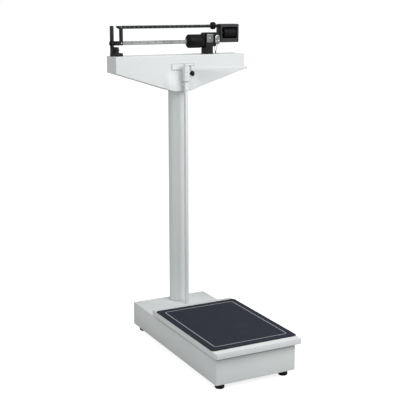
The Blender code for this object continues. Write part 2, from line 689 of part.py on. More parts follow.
def make_poises():
    """The large poise with its pawl, and the small poise."""
    large_x = 0.0865
    large = poise("large_poise", large_x, 0.057, 0.0295, LOWER_BAR_Z, 1.2896, 0.003, 40, dome=0.0092)
    well = (LOWER_BAR_Z[1] - 0.002, 1.3150)
    cut(large, head_block(
        "pawl_well", (large_x - 0.006, large_x + 0.006), (-0.0045, 0.0045), (well[0], 1.330)))
    pawl = head_block(
        "poise_pawl", (large_x - 0.0055, large_x + 0.0055), (-0.004, 0.004),
        (LOWER_BAR_Z[1] + GAP, well[1]), STEEL)
    small = poise("small_poise", 0.1772, 0.0160, 0.0158, UPPER_BAR_Z, 1.3550, 0.0015, 28)
    body("large_poise_axis", (hx(large_x), COLUMN_Y, 1.2896), [large, pawl])
    body("small_poise_axis", (hx(0.1772), COLUMN_Y, 1.3550), [small])


# ------------------------------------------------------------- draw-down linkage
def make_linkage():
    """Shackle, connecting rod, transfer lever and the draft rod down the column."""
    load_x = hx(PIVOT_X + LOAD_ARM)
    cheek = rounded_rectangle(0.0115, 1.2750, 1.3145, 0.009)
    eye = arc((0, PIVOT_Z - 0.0015), 0.0060, 0, 337.5, 15)
    shackle = plate("shackle", [cheek, eye], 0.003, (load_x, COLUMN_Y - 0.0180, 0), "XZ", STEEL)
    rear = plate("shackle_rear", [cheek, eye], 0.003, (load_x, COLUMN_Y + 0.0180, 0), "XZ", STEEL)
    hub_low = HEAD_TOP + 0.0010
    hub = rod("shackle_hub", (load_x, COLUMN_Y, hub_low + 0.0030), 0.0032, 0.0060, sides=12)
    weld(shackle, rear, hub)
    for side in (-1, 1):
        high = Vector((load_x, COLUMN_Y + side * 0.0180, 1.2775))
        low = Vector((load_x, COLUMN_Y + side * 0.0008, hub_low + 0.0030))
        leg = rod(f"shackle_leg_{side}", (high + low) / 2, 0.0014, (high - low).length, sides=10)
        leg.rotation_euler = (high - low).to_track_quat("Z", "Y").to_euler()
        weld(shackle, leg)
    loop_low = TRANSFER_Z[0] - 0.0090
    wire_top = hub_low - GAP
    wire = rod("connecting_rod", (load_x, COLUMN_Y, (wire_top + 1.2100) / 2), 0.0016, wire_top - 1.2100, sides=12)
    loop = plate(
        "connecting_loop",
        [rectangle(-0.0125, loop_low, 0.0125, 1.2120),
         rectangle(-0.0085, TRANSFER_Z[0] - 0.0003, 0.0085, TRANSFER_Z[1] + 0.0025)],
        0.008, (load_x, COLUMN_Y, 0), "YZ", STEEL)
    weld(wire, loop)
    body("shackle_axis", (load_x, COLUMN_Y, PIVOT_Z), [shackle, wire])

    lever = plate(
        "transfer_lever",
        [[(TRANSFER_PIVOT_X - 0.014, TRANSFER_Z[0]), (PIVOT_X + LOAD_ARM + 0.012, TRANSFER_Z[0]),
          (PIVOT_X + LOAD_ARM + 0.012, TRANSFER_Z[1]), (TRANSFER_PIVOT_X - 0.014, TRANSFER_Z[1])]],
        0.014, (COLUMN_X, COLUMN_Y, 0), "XZ")
    weld(lever, rod(
        "transfer_knife", (hx(TRANSFER_PIVOT_X), COLUMN_Y, 1.194), 0.0050, 0.066, "Y", sides=12))
    body("transfer_lever_axis", (hx(TRANSFER_PIVOT_X), COLUMN_Y, 1.194), [lever])

    hook_low = 1.1640
    nose_high = LONG_Z[1] + 0.0090
    draft = rod(
        "draft_rod", (COLUMN_X, COLUMN_Y, (hook_low + nose_high) / 2), 0.004, hook_low - nose_high, sides=12)
    upper = plate(
        "draft_upper_stirrup",
        [rectangle(-0.0130, hook_low - 0.002, 0.0130, TRANSFER_Z[1] + 0.0080),
         rectangle(-0.0085, hook_low + 0.004, 0.0085, TRANSFER_Z[1] + 0.0003)],
        0.010, (COLUMN_X, COLUMN_Y, 0), "YZ", STEEL)
    lower = plate(
        "draft_lower_stirrup",
        [rectangle(-0.0180, LONG_Z[0] - 0.0080, 0.0180, nose_high + 0.002),
         rectangle(-0.0130, LONG_Z[0] - 0.0003, 0.0130, LONG_Z[1] + 0.0030)],
        0.010, (COLUMN_X, COLUMN_Y, 0), "XZ", STEEL)
    weld(draft, upper, lower)
    body("draft_rod_axis", (COLUMN_X, COLUMN_Y, nose_high), [draft])


# ------------------------------------------------------------------- height rod
def make_height_rod():
    """Square tube with a sliding rule, its collar and knob, and the swinging blade."""
    low = SHELF_Z + GAP
    tube = block(
        "height_tube", (ROD_X - ROD_HALF, ROD_Y - ROD_HALF, low),
        (ROD_X + ROD_HALF, ROD_Y + ROD_HALF, ROD_TOP), WHITE)
    bore = RULE_HALF + 0.0005
    cut(tube, block(
        "height_tube_bore", (ROD_X - bore, ROD_Y - bore, low - 0.01),
        (ROD_X + bore, ROD_Y + bore, ROD_TOP + 0.01)))
    rule_top = ROD_TOP + 0.0025
    rule = block(
        "height_rule", (ROD_X - RULE_HALF, ROD_Y - RULE_HALF, RULE_BOTTOM),
        (ROD_X + RULE_HALF, ROD_Y + RULE_HALF, rule_top), ALUMINIUM)
    collar_half = 0.0115
    collar = block(
        "rod_collar", (ROD_X - collar_half, ROD_Y - collar_half, 1.1250),
        (ROD_X + collar_half, ROD_Y + collar_half, ROD_TOP - 0.0008), WHITE, 0.001)
    fit = ROD_HALF + GAP
    knob_hole = rod(
        "knob_screw_hole", (ROD_X + collar_half, ROD_Y, KNOB_Z), 0.0033, 0.0075, "X", sides=12)
    cut(collar, block(
        "rod_collar_bore", (ROD_X - fit, ROD_Y - fit, 1.10), (ROD_X + fit, ROD_Y + fit, 1.25)), knob_hole)
    knob_face = ROD_X + 0.0273
    knob = turned(
        "clamp_knob",
        [(0, 0.0095), (0.0085, 0.0092), (0.0108, 0.0072), (0.0115, 0.0045), (0.0115, 0.0), (0.0108, -0.0027),
         (0.0085, -0.0047), (0.0030, -0.0050), (0.0030, -0.0195), (0, -0.0195)],
        (knob_face, ROD_Y, KNOB_Z), "X", KNOB, 24)
    body("clamp_knob_axis", (knob_face, ROD_Y, KNOB_Z), [knob])

    arm_low = rule_top + GAP
    arm_high = arm_low + 0.0080
    head = block(
        "rule_head", (ROD_X - 0.0095, ROD_Y - 0.0095, arm_low),
        (ROD_X + BLADE_PIVOT + 0.0100, ROD_Y + 0.0095, arm_high), WHITE, 0.001)
    pin_x = ROD_X + BLADE_PIVOT
    pin_z = (1.1695, arm_low + 0.002)
    weld(head, rod(
        "blade_pin", (pin_x, ROD_Y, sum(pin_z) / 2), 0.0030, pin_z[1] - pin_z[0], material=WHITE, sides=16))
    hub_z = (1.1715, arm_low - 0.0004)
    blade = rod(
        "measuring_blade", (pin_x, ROD_Y, sum(hub_z) / 2), 0.0100, hub_z[1] - hub_z[0],
        material=WHITE, sides=24)
    reach = block(
        "blade_reach", (0.0060, -0.0015, hub_z[0]), (BLADE_LENGTH, 0.0015, hub_z[0] + 0.0145), WHITE)
    reach.rotation_euler = (0, 0, BLADE_ANGLE)
    middle = Vector(((0.0060 + BLADE_LENGTH) / 2, 0, 0))
    middle.rotate(Matrix.Rotation(BLADE_ANGLE, 3, "Z"))
    reach.location = (pin_x + middle.x, ROD_Y + middle.y, hub_z[0] + 0.00725)
    weld(blade, reach)
    root = block("blade_root", (0.0, -0.0030, hub_z[0]), (0.0340, 0.0030, hub_z[1]), WHITE, 0.001)
    root.rotation_euler = (0, 0, BLADE_ANGLE)
    middle = Vector((0.0170, 0, 0))
    middle.rotate(Matrix.Rotation(BLADE_ANGLE, 3, "Z"))
    root.location = (pin_x + middle.x, ROD_Y + middle.y, sum(hub_z) / 2)
    weld(blade, root)
    cut(blade, rod("blade_bore", (pin_x, ROD_Y, 1.18), 0.0034, 0.06, sides=16))
    body("height_rule_axis", (ROD_X, ROD_Y, rule_top), [rule, head])
    body("blade_axis", (pin_x, ROD_Y, sum(hub_z) / 2), [blade])

    bracket = plate(
        "rod_bracket",
        [rectangle(-0.0100, ROD_Y + ROD_HALF + GAP, 0.0100, COLUMN_Y - 0.0603)],
        0.014, (ROD_X, 0, 1.110), "XY", WHITE)
    rounded(bracket, 0.001)


def main():
    """Build every piece of the scale."""
    make_base()
    make_feet()
    cradle("front_lever_cradle", LONG_PIVOT_Y, sum(LONG_Z) / 2 - 0.005 - GAP)
    cradle("rear_lever_cradle", SHORT_PIVOT_Y, sum(SHORT_Z) / 2 - 0.005 - GAP)
    make_platform_levers()
    make_platform()
    make_column()
    make_head_housing()
    make_head_saddle()
    make_label()
    make_fulcrum_stand()
    make_trig_loop()
    make_beam()
    make_poises()
    make_linkage()
    make_height_rod()


main()
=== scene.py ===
"""Physician beam scale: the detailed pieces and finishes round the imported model."""
import math

import bmesh
import bpy
from mathutils import Matrix, Vector


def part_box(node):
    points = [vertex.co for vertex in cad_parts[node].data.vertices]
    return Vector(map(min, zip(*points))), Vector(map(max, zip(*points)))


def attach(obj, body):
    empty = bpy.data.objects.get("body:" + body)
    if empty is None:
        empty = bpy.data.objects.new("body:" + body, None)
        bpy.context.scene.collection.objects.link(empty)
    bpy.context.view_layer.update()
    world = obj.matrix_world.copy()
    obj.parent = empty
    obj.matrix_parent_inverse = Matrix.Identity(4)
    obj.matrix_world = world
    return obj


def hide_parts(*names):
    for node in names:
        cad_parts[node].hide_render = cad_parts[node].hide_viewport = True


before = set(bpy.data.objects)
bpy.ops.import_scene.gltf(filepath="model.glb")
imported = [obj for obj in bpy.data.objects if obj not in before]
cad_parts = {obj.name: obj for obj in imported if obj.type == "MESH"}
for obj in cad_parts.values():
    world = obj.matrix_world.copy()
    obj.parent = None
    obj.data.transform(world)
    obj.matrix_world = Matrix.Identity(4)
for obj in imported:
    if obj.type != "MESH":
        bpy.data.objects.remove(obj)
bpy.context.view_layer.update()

scene = bpy.context.scene


# ---------------------------------------------------------------- small helpers
def in_scene(name, data):
    """A new object, linked to the scene."""
    thing = bpy.data.objects.new(name, data)
    scene.collection.objects.link(thing)
    return thing


def feed(tree, socket, value):
    """Links a socket to another one, or gives it a plain value."""
    if isinstance(value, bpy.types.NodeSocket):
        tree.links.new(value, socket)
    else:
        socket.default_value = value


def add(tree, kind, inputs=None, **settings):
    """A new node: its settings first, then its inputs by name or number."""
    node = tree.nodes.new(kind)
    for name, value in settings.items():
        setattr(node, name, value)
    for key, value in (inputs or {}).items():
        feed(tree, node.inputs[key], value)
    return node


def math_node(tree, operation, first, second, clamp=False):
    """The result of a Math node fed by sockets or numbers."""
    return add(tree, "ShaderNodeMath", {0: first, 1: second}, operation=operation, use_clamp=clamp).outputs[0]


def combine(tree, **axes):
    """A vector from its X, Y and Z."""
    return add(tree, "ShaderNodeCombineXYZ", axes).outputs[0]


# ------------------------------------------------------------- camera and light
CAMERA_PLACE = (-1.7619, -3.2987, 1.4654)
CAMERA_TILT = math.radians(90 - 12.187)
CAMERA_PAN = math.radians(-27.18)
LENS, SENSOR_WIDTH, FAR_END = 83.37, 36, 50
ROOM_TINT = (0.985, 0.995, 1.0, 1)
ROOM_LIT, ROOM_SEEN = 0.50, 1.02
LAMPS = (  # name, place, target, side, power
    ("key_lamp", (1.05, -2.0, 2.55), (0, 0.25, 1.0), 1.6, 37),
    ("platform_lamp", (0.1, -0.9, 2.9), (0, -0.1, 0.15), 1.2, 18),
    ("left_fill", (-1.9, -0.1, 1.8), (-0.1, 0.35, 1.1), 1.4, 5),
)
FLOOR_REACH = 30.0
FLOOR_GREY, FLOOR_SEEN, FLOOR_ROUGH = 0.62, 0.80, 0.95


def set_camera():
    """The camera stands in front of the platform, to the left, at head height."""
    lens = bpy.data.cameras.new("studio_camera")
    lens.lens, lens.sensor_width, lens.clip_end = LENS, SENSOR_WIDTH, FAR_END
    camera = in_scene("studio_camera", lens)
    camera.location = CAMERA_PLACE
    camera.rotation_euler = (CAMERA_TILT, 0, CAMERA_PAN)
    scene.camera = camera


def white_to_camera(tree, lit, seen):
    """A value that is one thing as light and another where the camera looks straight at it."""
    is_seen = add(tree, "ShaderNodeLightPath").outputs["Is Camera Ray"]
    return add(tree, "ShaderNodeMapRange", {"Value": is_seen, "To Min": lit, "To Max": seen}).outputs["Result"]


def set_light():
    """A white room, dimmer as light than it looks, a soft key from the front right and weaker fills."""
    world = bpy.data.worlds.new("white_room")
    world.use_nodes = True
    tree = world.node_tree
    back = tree.nodes["Background"]
    feed(tree, back.inputs["Color"], ROOM_TINT)
    feed(tree, back.inputs["Strength"], white_to_camera(tree, ROOM_LIT, ROOM_SEEN))
    scene.world = world
    for name, place, target, side, power in LAMPS:
        lamp = bpy.data.lights.new(name, "AREA")
        lamp.shape = "RECTANGLE"
        lamp.size = lamp.size_y = side
        lamp.energy = power
        thing = in_scene(name, lamp)
        thing.location = place
        thing.rotation_euler = (Vector(target) - Vector(place)).to_track_quat("-Z", "Y").to_euler()
    scene.view_settings.view_transform = "Standard"


def set_floor():
    """A plain pale floor that is as white as the room."""
    mesh = bpy.data.meshes.new("floor")
    corners = [(x * FLOOR_REACH, y * FLOOR_REACH, 0) for x, y in ((-1, -1), (1, -1), (1, 1), (-1, 1))]
    mesh.from_pydata(corners, [], [(0, 1, 2, 3)])
    paint = bpy.data.materials.new("floor_paint")
    paint.use_nodes = True
    tree = paint.node_tree
    inputs = tree.nodes["Principled BSDF"].inputs
    feed(tree, inputs["Base Color"], (FLOOR_GREY, FLOOR_GREY, FLOOR_GREY, 1))
    feed(tree, inputs["Roughness"], FLOOR_ROUGH)
    feed(tree, inputs["Emission Color"], (1, 1, 1, 1))
    feed(tree, inputs["Emission Strength"], white_to_camera(tree, 0.0, FLOOR_SEEN))
    mesh.materials.append(paint)
    in_scene("floor", mesh)


# ------------------------------------------------------------------ node groups
FLOAT, VECTOR, INT = "NodeSocketFloat", "NodeSocketVector", "NodeSocketInt"
MATERIAL, GEOMETRY = "NodeSocketMaterial", "NodeSocketGeometry"


def new_tree(kind, name, inputs, outputs):
    """An empty node tree, with the sockets to read from and to fill: inputs are (name, kind, value)."""
    tree = bpy.data.node_groups.new(name, kind)
    for label, socket_kind, value in inputs:
        socket = tree.interface.new_socket(label, in_out="INPUT", socket_type=socket_kind)
        if value is not None:
            socket.default_value = value
    for label, socket_kind in outputs:
        tree.interface.new_socket(label, in_out="OUTPUT", socket_type=socket_kind)
    return tree, tree.nodes.new("NodeGroupInput").outputs, tree.nodes.new("NodeGroupOutput").inputs


def make_rounded_edge_group():
    """Rounds hard edges for light, and gives a mask of where they are."""
    group, given, result = new_tree(
        "ShaderNodeTree", "rounded_edges", [("Radius", FLOAT, 0.001), ("Sharpness", FLOAT, 2.0)],
        [("Normal", VECTOR), ("Edge", FLOAT)])
    rounded = add(group, "ShaderNodeBevel", {"Radius": given["Radius"]}, samples=4).outputs["Normal"]
    flat = add(group, "ShaderNodeNewGeometry").outputs["Normal"]
    dot = add(group, "ShaderNodeVectorMath", {0: rounded, 1: flat}, operation="DOT_PRODUCT").outputs["Value"]
    bend = math_node(group, "SUBTRACT", 1.0, dot, clamp=True)
    feed(group, result["Normal"], rounded)
    feed(group, result["Edge"], math_node(group, "MULTIPLY", bend, given["Sharpness"], clamp=True))
    return group


def noise(tree, place, scale, detail):
    """The value of a noise texture."""
    inputs = {"Vector": place, "Scale": scale, "Detail": detail}
    return add(tree, "ShaderNodeTexNoise", inputs).outputs[0]


def make_grain_group():
    """Two sizes of noise on the piece's own coordinates: a fine height and a broad cloud."""
    group, given, result = new_tree(
        "ShaderNodeTree", "grain",
        [("Fine Scale", FLOAT, 900.0), ("Cloud Scale", FLOAT, 6.0), ("Stretch", VECTOR, (1.0, 1.0, 1.0))],
        [("Height", FLOAT), ("Cloud", FLOAT)])
    place = add(group, "ShaderNodeTexCoord").outputs["Object"]
    stretched = add(group, "ShaderNodeVectorMath", {0: place, 1: given["Stretch"]}, operation="MULTIPLY").outputs[0]
    feed(group, result["Height"], noise(group, stretched, given["Fine Scale"], 3.0))
    feed(group, result["Cloud"], noise(group, place, given["Cloud Scale"], 4.0))
    return group


def make_dust_group():
    """A mask of dust that lies on faces that look up."""
    group, given, result = new_tree(
        "ShaderNodeTree", "settled_dust", [("Amount", FLOAT, 0.3), ("Scale", FLOAT, 25.0)], [("Dust", FLOAT)])
    normal = add(group, "ShaderNodeNewGeometry").outputs["Normal"]
    rise = add(group, "ShaderNodeSeparateXYZ", {0: normal}).outputs["Z"]
    up = math_node(group, "POWER", math_node(group, "MAXIMUM", rise, 0.0), 3.0)
    patch = noise(group, add(group, "ShaderNodeTexCoord").outputs["Object"], given["Scale"], 5.0)
    mask = math_node(group, "MULTIPLY", up, patch)
    feed(group, result["Dust"], math_node(group, "MULTIPLY", mask, given["Amount"], clamp=True))
    return group


EDGES = make_rounded_edge_group()
GRAIN = make_grain_group()
DUST = make_dust_group()

# -------------------------------------------------------------------- materials
CLOUD_LOW, CLOUD_HIGH = 0.3, 0.7
WEAR_TO_SHARPNESS = 4
FIRST_COLOUR, SECOND_COLOUR, MIXED_COLOUR = 6, 7, 2  # socket numbers of a colour mix


def place_group(tree, group, **values):
    """The outputs of a group node in a material, with its inputs set."""
    inputs = {label.replace("_", " "): value for label, value in values.items()}
    return add(tree, "ShaderNodeGroup", inputs, node_tree=group).outputs


def blend_colour(tree, mask, first, second):
    """A colour that goes from first to second with a mask; first may be a socket."""
    if isinstance(first, tuple):
        first = (*first, 1)
    inputs = {"Factor": mask, FIRST_COLOUR: first, SECOND_COLOUR: (*second, 1)}
    return add(tree, "ShaderNodeMix", inputs, data_type="RGBA").outputs[MIXED_COLOUR]


def spread(tree, cloud, low, high):
    """A cloud's value laid out between two numbers."""
    inputs = {"Value": cloud, "From Min": CLOUD_LOW, "From Max": CLOUD_HIGH, "To Min": low, "To Max": high}
    return add(tree, "ShaderNodeMapRange", inputs).outputs["Result"]


def finish(name, colour, cloudy, worn, rough, metal=0.0, fine=1500, cloud=60, stretch=(1, 1, 1),
           bump=0.05, depth=0.0002, edge_radius=0.0002, edge_wear=0.1, dust=0.0, dust_colour=(0.5, 0.5, 0.48),
           coat=0.0, coat_rough=0.1, specular=0.5):
    """A finish: clouded colour, worn edges, settled dust, roughness and grain."""
    material = bpy.data.materials.new(name)
    material.use_nodes = True
    tree = material.node_tree
    shader = tree.nodes["Principled BSDF"].inputs
    grain = place_group(tree, GRAIN, Fine_Scale=fine, Cloud_Scale=cloud, Stretch=stretch)
    edges = place_group(tree, EDGES, Radius=edge_radius, Sharpness=edge_wear * WEAR_TO_SHARPNESS)
    body = blend_colour(tree, spread(tree, grain["Cloud"], 0.0, 1.0), colour, cloudy)
    body = blend_colour(tree, math_node(tree, "MULTIPLY", edges["Edge"], grain["Cloud"]), body, worn)
    if dust:
        body = blend_colour(tree, place_group(tree, DUST, Amount=dust)["Dust"], body, dust_colour)
    relief = add(tree, "ShaderNodeBump", {
        "Strength": bump, "Distance": depth, "Height": grain["Height"], "Normal": edges["Normal"]})
    for label, value in {
            "Metallic": metal, "Coat Weight": coat, "Coat Roughness": coat_rough, "Specular IOR Level": specular,
            "Base Color": body, "Roughness": spread(tree, grain["Cloud"], *rough),
            "Normal": relief.outputs["Normal"]}.items():
        feed(tree, shader[label], value)
    return material


WHITE = finish(
    "white_enamel", (0.735, 0.757, 0.752), (0.765, 0.782, 0.780), (0.62, 0.63, 0.62), (0.34, 0.44),
    fine=420, cloud=3.0, bump=0.10, depth=0.0003, edge_radius=0.0014, edge_wear=0.18,
    dust=0.05, coat=0.15, coat_rough=0.15, specular=0.35)
BLACK = finish(
    "black_enamel", (0.009, 0.009, 0.010), (0.015, 0.015, 0.017), (0.07, 0.07, 0.07), (0.42, 0.56),
    fine=1400, cloud=18, bump=0.25, edge_radius=0.0009, edge_wear=0.30, dust=0.03, specular=0.22)
FRAME_BLACK = finish(
    "frame_black", (0.036, 0.036, 0.039), (0.046, 0.046, 0.050), (0.085, 0.085, 0.09), (0.45, 0.60),
    fine=1100, cloud=18, bump=0.30, edge_radius=0.0012, edge_wear=0.35, dust=0.03, specular=0.22)
WEIGHT_BLACK = finish(
    "weight_black", (0.006, 0.006, 0.007), (0.010, 0.010, 0.011), (0.045, 0.045, 0.045),
    (0.42, 0.54), fine=1800, cloud=24, bump=0.18, edge_radius=0.0008, edge_wear=0.22, specular=0.10)
STEEL = finish(
    "plated_steel", (0.33, 0.34, 0.34), (0.42, 0.43, 0.42), (0.70, 0.70, 0.69), (0.24, 0.38),
    metal=1.0, fine=1200, cloud=30, bump=0.06, edge_radius=0.0006, edge_wear=0.4)
BAR_STEEL = finish(
    "brushed_bar_steel", (0.37, 0.38, 0.38), (0.47, 0.48, 0.47), (0.72, 0.72, 0.71), (0.34, 0.48),
    metal=1.0, fine=1600, cloud=14, stretch=(0.02, 1, 1), bump=0.30, edge_radius=0.0005, edge_wear=0.4)
IRON = finish(
    "grey_primed_iron", (0.105, 0.110, 0.118), (0.150, 0.155, 0.160), (0.26, 0.25, 0.24), (0.50, 0.68),
    metal=0.2, fine=520, cloud=16, bump=0.55, depth=0.0006, edge_radius=0.0012, edge_wear=0.35, dust=0.25,
    dust_colour=(0.28, 0.27, 0.25))
ALUMINIUM = finish(
    "satin_aluminium", (0.60, 0.61, 0.62), (0.68, 0.69, 0.69), (0.82, 0.82, 0.82), (0.28, 0.38),
    metal=1.0, cloud=12, stretch=(1, 1, 0.02), bump=0.22, edge_radius=0.0004, edge_wear=0.3)
FOOT_RUBBER = finish(
    "foot_rubber", (0.012, 0.012, 0.012), (0.019, 0.019, 0.018), (0.05, 0.05, 0.05), (0.66, 0.82),
    fine=900, cloud=40, bump=0.35, depth=0.0004, edge_radius=0.001, edge_wear=0.3, dust=0.3,
    dust_colour=(0.16, 0.15, 0.14), specular=0.2)
MAT_RUBBER = finish(
    "mat_rubber", (0.020, 0.022, 0.033), (0.027, 0.029, 0.042), (0.06, 0.06, 0.07), (0.72, 0.86),
    fine=650, cloud=9, bump=0.45, depth=0.0006, edge_radius=0.001, edge_wear=0.25, dust=0.05,
    dust_colour=(0.20, 0.20, 0.22), specular=0.12)
BORDER_INK = finish(
    "border_line", (0.40, 0.41, 0.43), (0.48, 0.49, 0.51), (0.30, 0.30, 0.31), (0.55, 0.7),
    fine=650, cloud=30, bump=0.2, depth=0.0003, edge_radius=0.0003, edge_wear=0.2, specular=0.2)
KNOB_BLACK = finish(
    "knob_plastic", (0.007, 0.007, 0.007), (0.011, 0.011, 0.011), (0.03, 0.03, 0.03), (0.28, 0.40),
    cloud=40, bump=0.06, edge_radius=0.0006, edge_wear=0.2, specular=0.18)
LABEL_FACE = finish(
    "label_face", (0.80, 0.82, 0.83), (0.84, 0.85, 0.86), (0.66, 0.67, 0.68), (0.30, 0.40),
    cloud=20, bump=0.04, edge_radius=0.0004, edge_wear=0.2, coat=0.2)
DARK_LINE = finish(
    "dark_line", (0.085, 0.088, 0.100), (0.105, 0.108, 0.120), (0.14, 0.14, 0.15), (0.50, 0.6),
    cloud=30, specular=0.2)
WHITE_INK = finish(
    "white_ink", (0.40, 0.41, 0.41), (0.46, 0.47, 0.47), (0.4, 0.4, 0.4), (0.50, 0.60),
    depth=0.0001, specular=0.2)
BLACK_INK = finish(
    "black_ink", (0.030, 0.030, 0.032), (0.045, 0.045, 0.047), (0.05, 0.05, 0.05), (0.50, 0.60),
    depth=0.0001, specular=0.2)

# ---------------------------------------------------------------- mesh helpers
SMOOTH_ANGLE = math.radians(35)
BEVEL_ANGLE = math.radians(40)
FLAT_ANGLE = math.radians(0.5)
SEAM, CAD_SEAM, PLATE_SEAM = 0.000001, 0.000002, 0.000005
TURNS = {
    "X": Matrix.Rotation(math.pi / 2, 4, "Y"),
    "Y": Matrix.Rotation(-math.pi / 2, 4, "X"),
    "Z": Matrix.Identity(4),
}
PLANES = {"XY": Matrix.Identity(4), "XZ": Matrix.Rotation(math.pi / 2, 4, "X")}


def middle(node):
    """The middle of a CAD node's box."""
    low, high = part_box(node)
    return (low + high) / 2


def evaluated(thing):
    """A new mesh of a thing as its modifiers or its curve leave it."""
    bpy.context.view_layer.update()
    graph = bpy.context.evaluated_depsgraph_get()
    return bpy.data.meshes.new_from_object(thing.evaluated_get(graph))


def applied(thing):
    """Turns a piece's modifiers into its mesh."""
    mesh = evaluated(thing)
    thing.modifiers.clear()
    thing.data = mesh
    return mesh


def piece(name, mesh, material, body, stands_for=(), bevel=0.0, segments=2):
    """A finished piece: it rides on its body and hides the CAD nodes it stands for."""
    thing = in_scene(name, mesh)
    mesh.materials.clear()
    mesh.materials.append(material)
    if bevel:
        edge = thing.modifiers.new("edges", "BEVEL")
        edge.width = bevel
        edge.segments = segments
        edge.limit_method = "ANGLE"
        edge.angle_limit = BEVEL_ANGLE
        applied(thing)
    thing.data.shade_smooth()
    thing.data.set_sharp_from_angle(angle=SMOOTH_ANGLE)
    thing.data.name = name
    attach(thing, body)
    if stands_for:
        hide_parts(*stands_for)


def mesh_from(bm, name):
    """Turns a bmesh into a mesh with its faces outwards."""
    bmesh.ops.recalc_face_normals(bm, faces=bm.faces)
    mesh = bpy.data.meshes.new(name)
    bm.to_mesh(mesh)
    bm.free()
    return mesh


def cleaned(node):
    """A CAD node's mesh with its triangles joined into flat faces."""
    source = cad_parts[node].data
    mesh = bpy.data.meshes.new(node + "_shape")
    mesh.from_pydata([v.co[:] for v in source.vertices], [], [p.vertices[:] for p in source.polygons])
    bm = bmesh.new()
    bm.from_mesh(mesh)
    bmesh.ops.remove_doubles(bm, verts=bm.verts, dist=CAD_SEAM)
    bmesh.ops.dissolve_limit(
        bm, angle_limit=FLAT_ANGLE, use_dissolve_boundaries=False, verts=bm.verts, edges=bm.edges)
    bm.to_mesh(mesh)
    bm.free()
    return mesh


def refined(name, node, material, body, bevel=0.0, segments=2):
    """A CAD node drawn again with smooth curves and eased edges."""
    piece(name, cleaned(node), material, body, (node,), bevel, segments)


def box_mesh(low, high):
    """A box between two corners."""
    size = Vector(high) - Vector(low)
    centre = (Vector(high) + Vector(low)) / 2
    bm = bmesh.new()
    bmesh.ops.create_cube(bm, size=1.0, matrix=Matrix.Translation(centre) @ Matrix.Diagonal((*size, 1.0)))
    return mesh_from(bm, "box")


def lathe_mesh(profile, centre, axis="Z", steps=64):
    """A turned piece: profile is (radius, height) from one end to the other, radius 0 closes it."""
    bm = bmesh.new()
    angles = [2 * math.pi * i / steps for i in range(steps)]
    rings = []
    for radius, height in profile:
        places = [(radius * math.cos(a), radius * math.sin(a), height) for a in angles] if radius else [(0, 0, height)]
        rings.append([bm.verts.new(place) for place in places])
    for near, far in zip(rings, rings[1:]):
        for i in range(steps):
            j = (i + 1) % steps
            corners = [near[i % len(near)], near[j % len(near)], far[j % len(far)], far[i % len(far)]]
            distinct = list(dict.fromkeys(corners))
            if len(distinct) > 2:
                bm.faces.new(distinct)
    bmesh.ops.remove_doubles(bm, verts=bm.verts, dist=SEAM)
    bmesh.ops.transform(bm, matrix=Matrix.Translation(centre) @ TURNS[axis], verts=bm.verts)
    return mesh_from(bm, "turned")


def drawn_mesh(curve, seam, placing):
    """The mesh of a filled curve, its seams closed, then placed."""
    drawn = in_scene("drawn", curve)
    mesh = evaluated(drawn)
    bpy.data.objects.remove(drawn, do_unlink=True)
    bm = bmesh.new()
    bm.from_mesh(mesh)
    bmesh.ops.remove_doubles(bm, verts=bm.verts, dist=seam)
    bmesh.ops.transform(bm, matrix=placing, verts=bm.verts)
    return mesh_from(bm, "drawn")


def plate_mesh(outlines, thickness, place, plane="XY", round_edge=0.0, turn=0.0):
    """A flat outline with holes, given a thickness and, if asked, round edges."""
    curve = bpy.data.curves.new("plate", "CURVE")
    curve.dimensions = "2D"
    curve.fill_mode = "BOTH"
    curve.extrude = thickness / 2 - round_edge
    curve.bevel_depth = round_edge
    curve.bevel_resolution = 2
    curve.offset = -round_edge
    for outline in outlines:
        spline = curve.splines.new("POLY")
        spline.points.add(len(outline) - 1)
        for point, (x, y) in zip(spline.points, outline):
            point.co = (x, y, 0, 1)
        spline.use_cyclic_u = True
    return drawn_mesh(
        curve, PLATE_SEAM, Matrix.Translation(place) @ Matrix.Rotation(turn, 4, "Z") @ PLANES[plane])


def node_plate(low, high, outlines, plane="XZ", round_edge=0.0):
    """An upright plate as deep as a node's box, from outlines of its front."""
    return plate_mesh(outlines, high.y - low.y, (0, (low.y + high.y) / 2, 0), plane, round_edge)


def arc(centre, radius, start, stop, steps):
    """Points along an arc, in degrees."""
    angles = [math.radians(start + (stop - start) * i / steps) for i in range(steps + 1)]
    return [(centre[0] + radius * math.cos(a), centre[1] + radius * math.sin(a)) for a in angles]


def rounded_box(low, high, radius, steps=6):
    """A rectangle with round corners, as an outline."""
    corners = [
        ((high[0] - radius, high[1] - radius), 0), ((low[0] + radius, high[1] - radius), 90),
        ((low[0] + radius, low[1] + radius), 180), ((high[0] - radius, low[1] + radius), 270)]
    return [p for centre, start in corners for p in arc(centre, radius, start, start + 90, steps)]


def rounded_front(low, high, radius, inset=0.0):
    """The outline of a box seen from the front, drawn in by an inset, with round corners."""
    return rounded_box((low.x + inset, low.z + inset), (high.x - inset, high.z - inset), radius)


def groove_points(radius, levels, depth, mouth, floor):
    """Points of a turned profile that cut a groove at each level."""
    return [point for level in levels for point in (
        (radius, level - mouth), (radius - depth, level - floor),
        (radius - depth, level + floor), (radius, level + mouth))]


def carved(mesh, *cutters, weld=False):
    """A mesh with other meshes cut out of it, or welded on."""
    host = in_scene("host", mesh)
    tools = []
    for cutter in cutters:
        tool = in_scene("cutter", cutter)
        step = host.modifiers.new("cut", "BOOLEAN")
        step.operation = "UNION" if weld else "DIFFERENCE"
        step.solver = "EXACT"
        step.object = tool
        tools.append(tool)
    result = applied(host)
    for thing in (host, *tools):
        bpy.data.objects.remove(thing, do_unlink=True)
    return result


def joined(meshes, name):
    """Several meshes as one."""
    bm = bmesh.new()
    for mesh in meshes:
        bm.from_mesh(mesh)
    mesh = bpy.data.meshes.new(name)
    bm.to_mesh(mesh)
    bm.free()
    return mesh


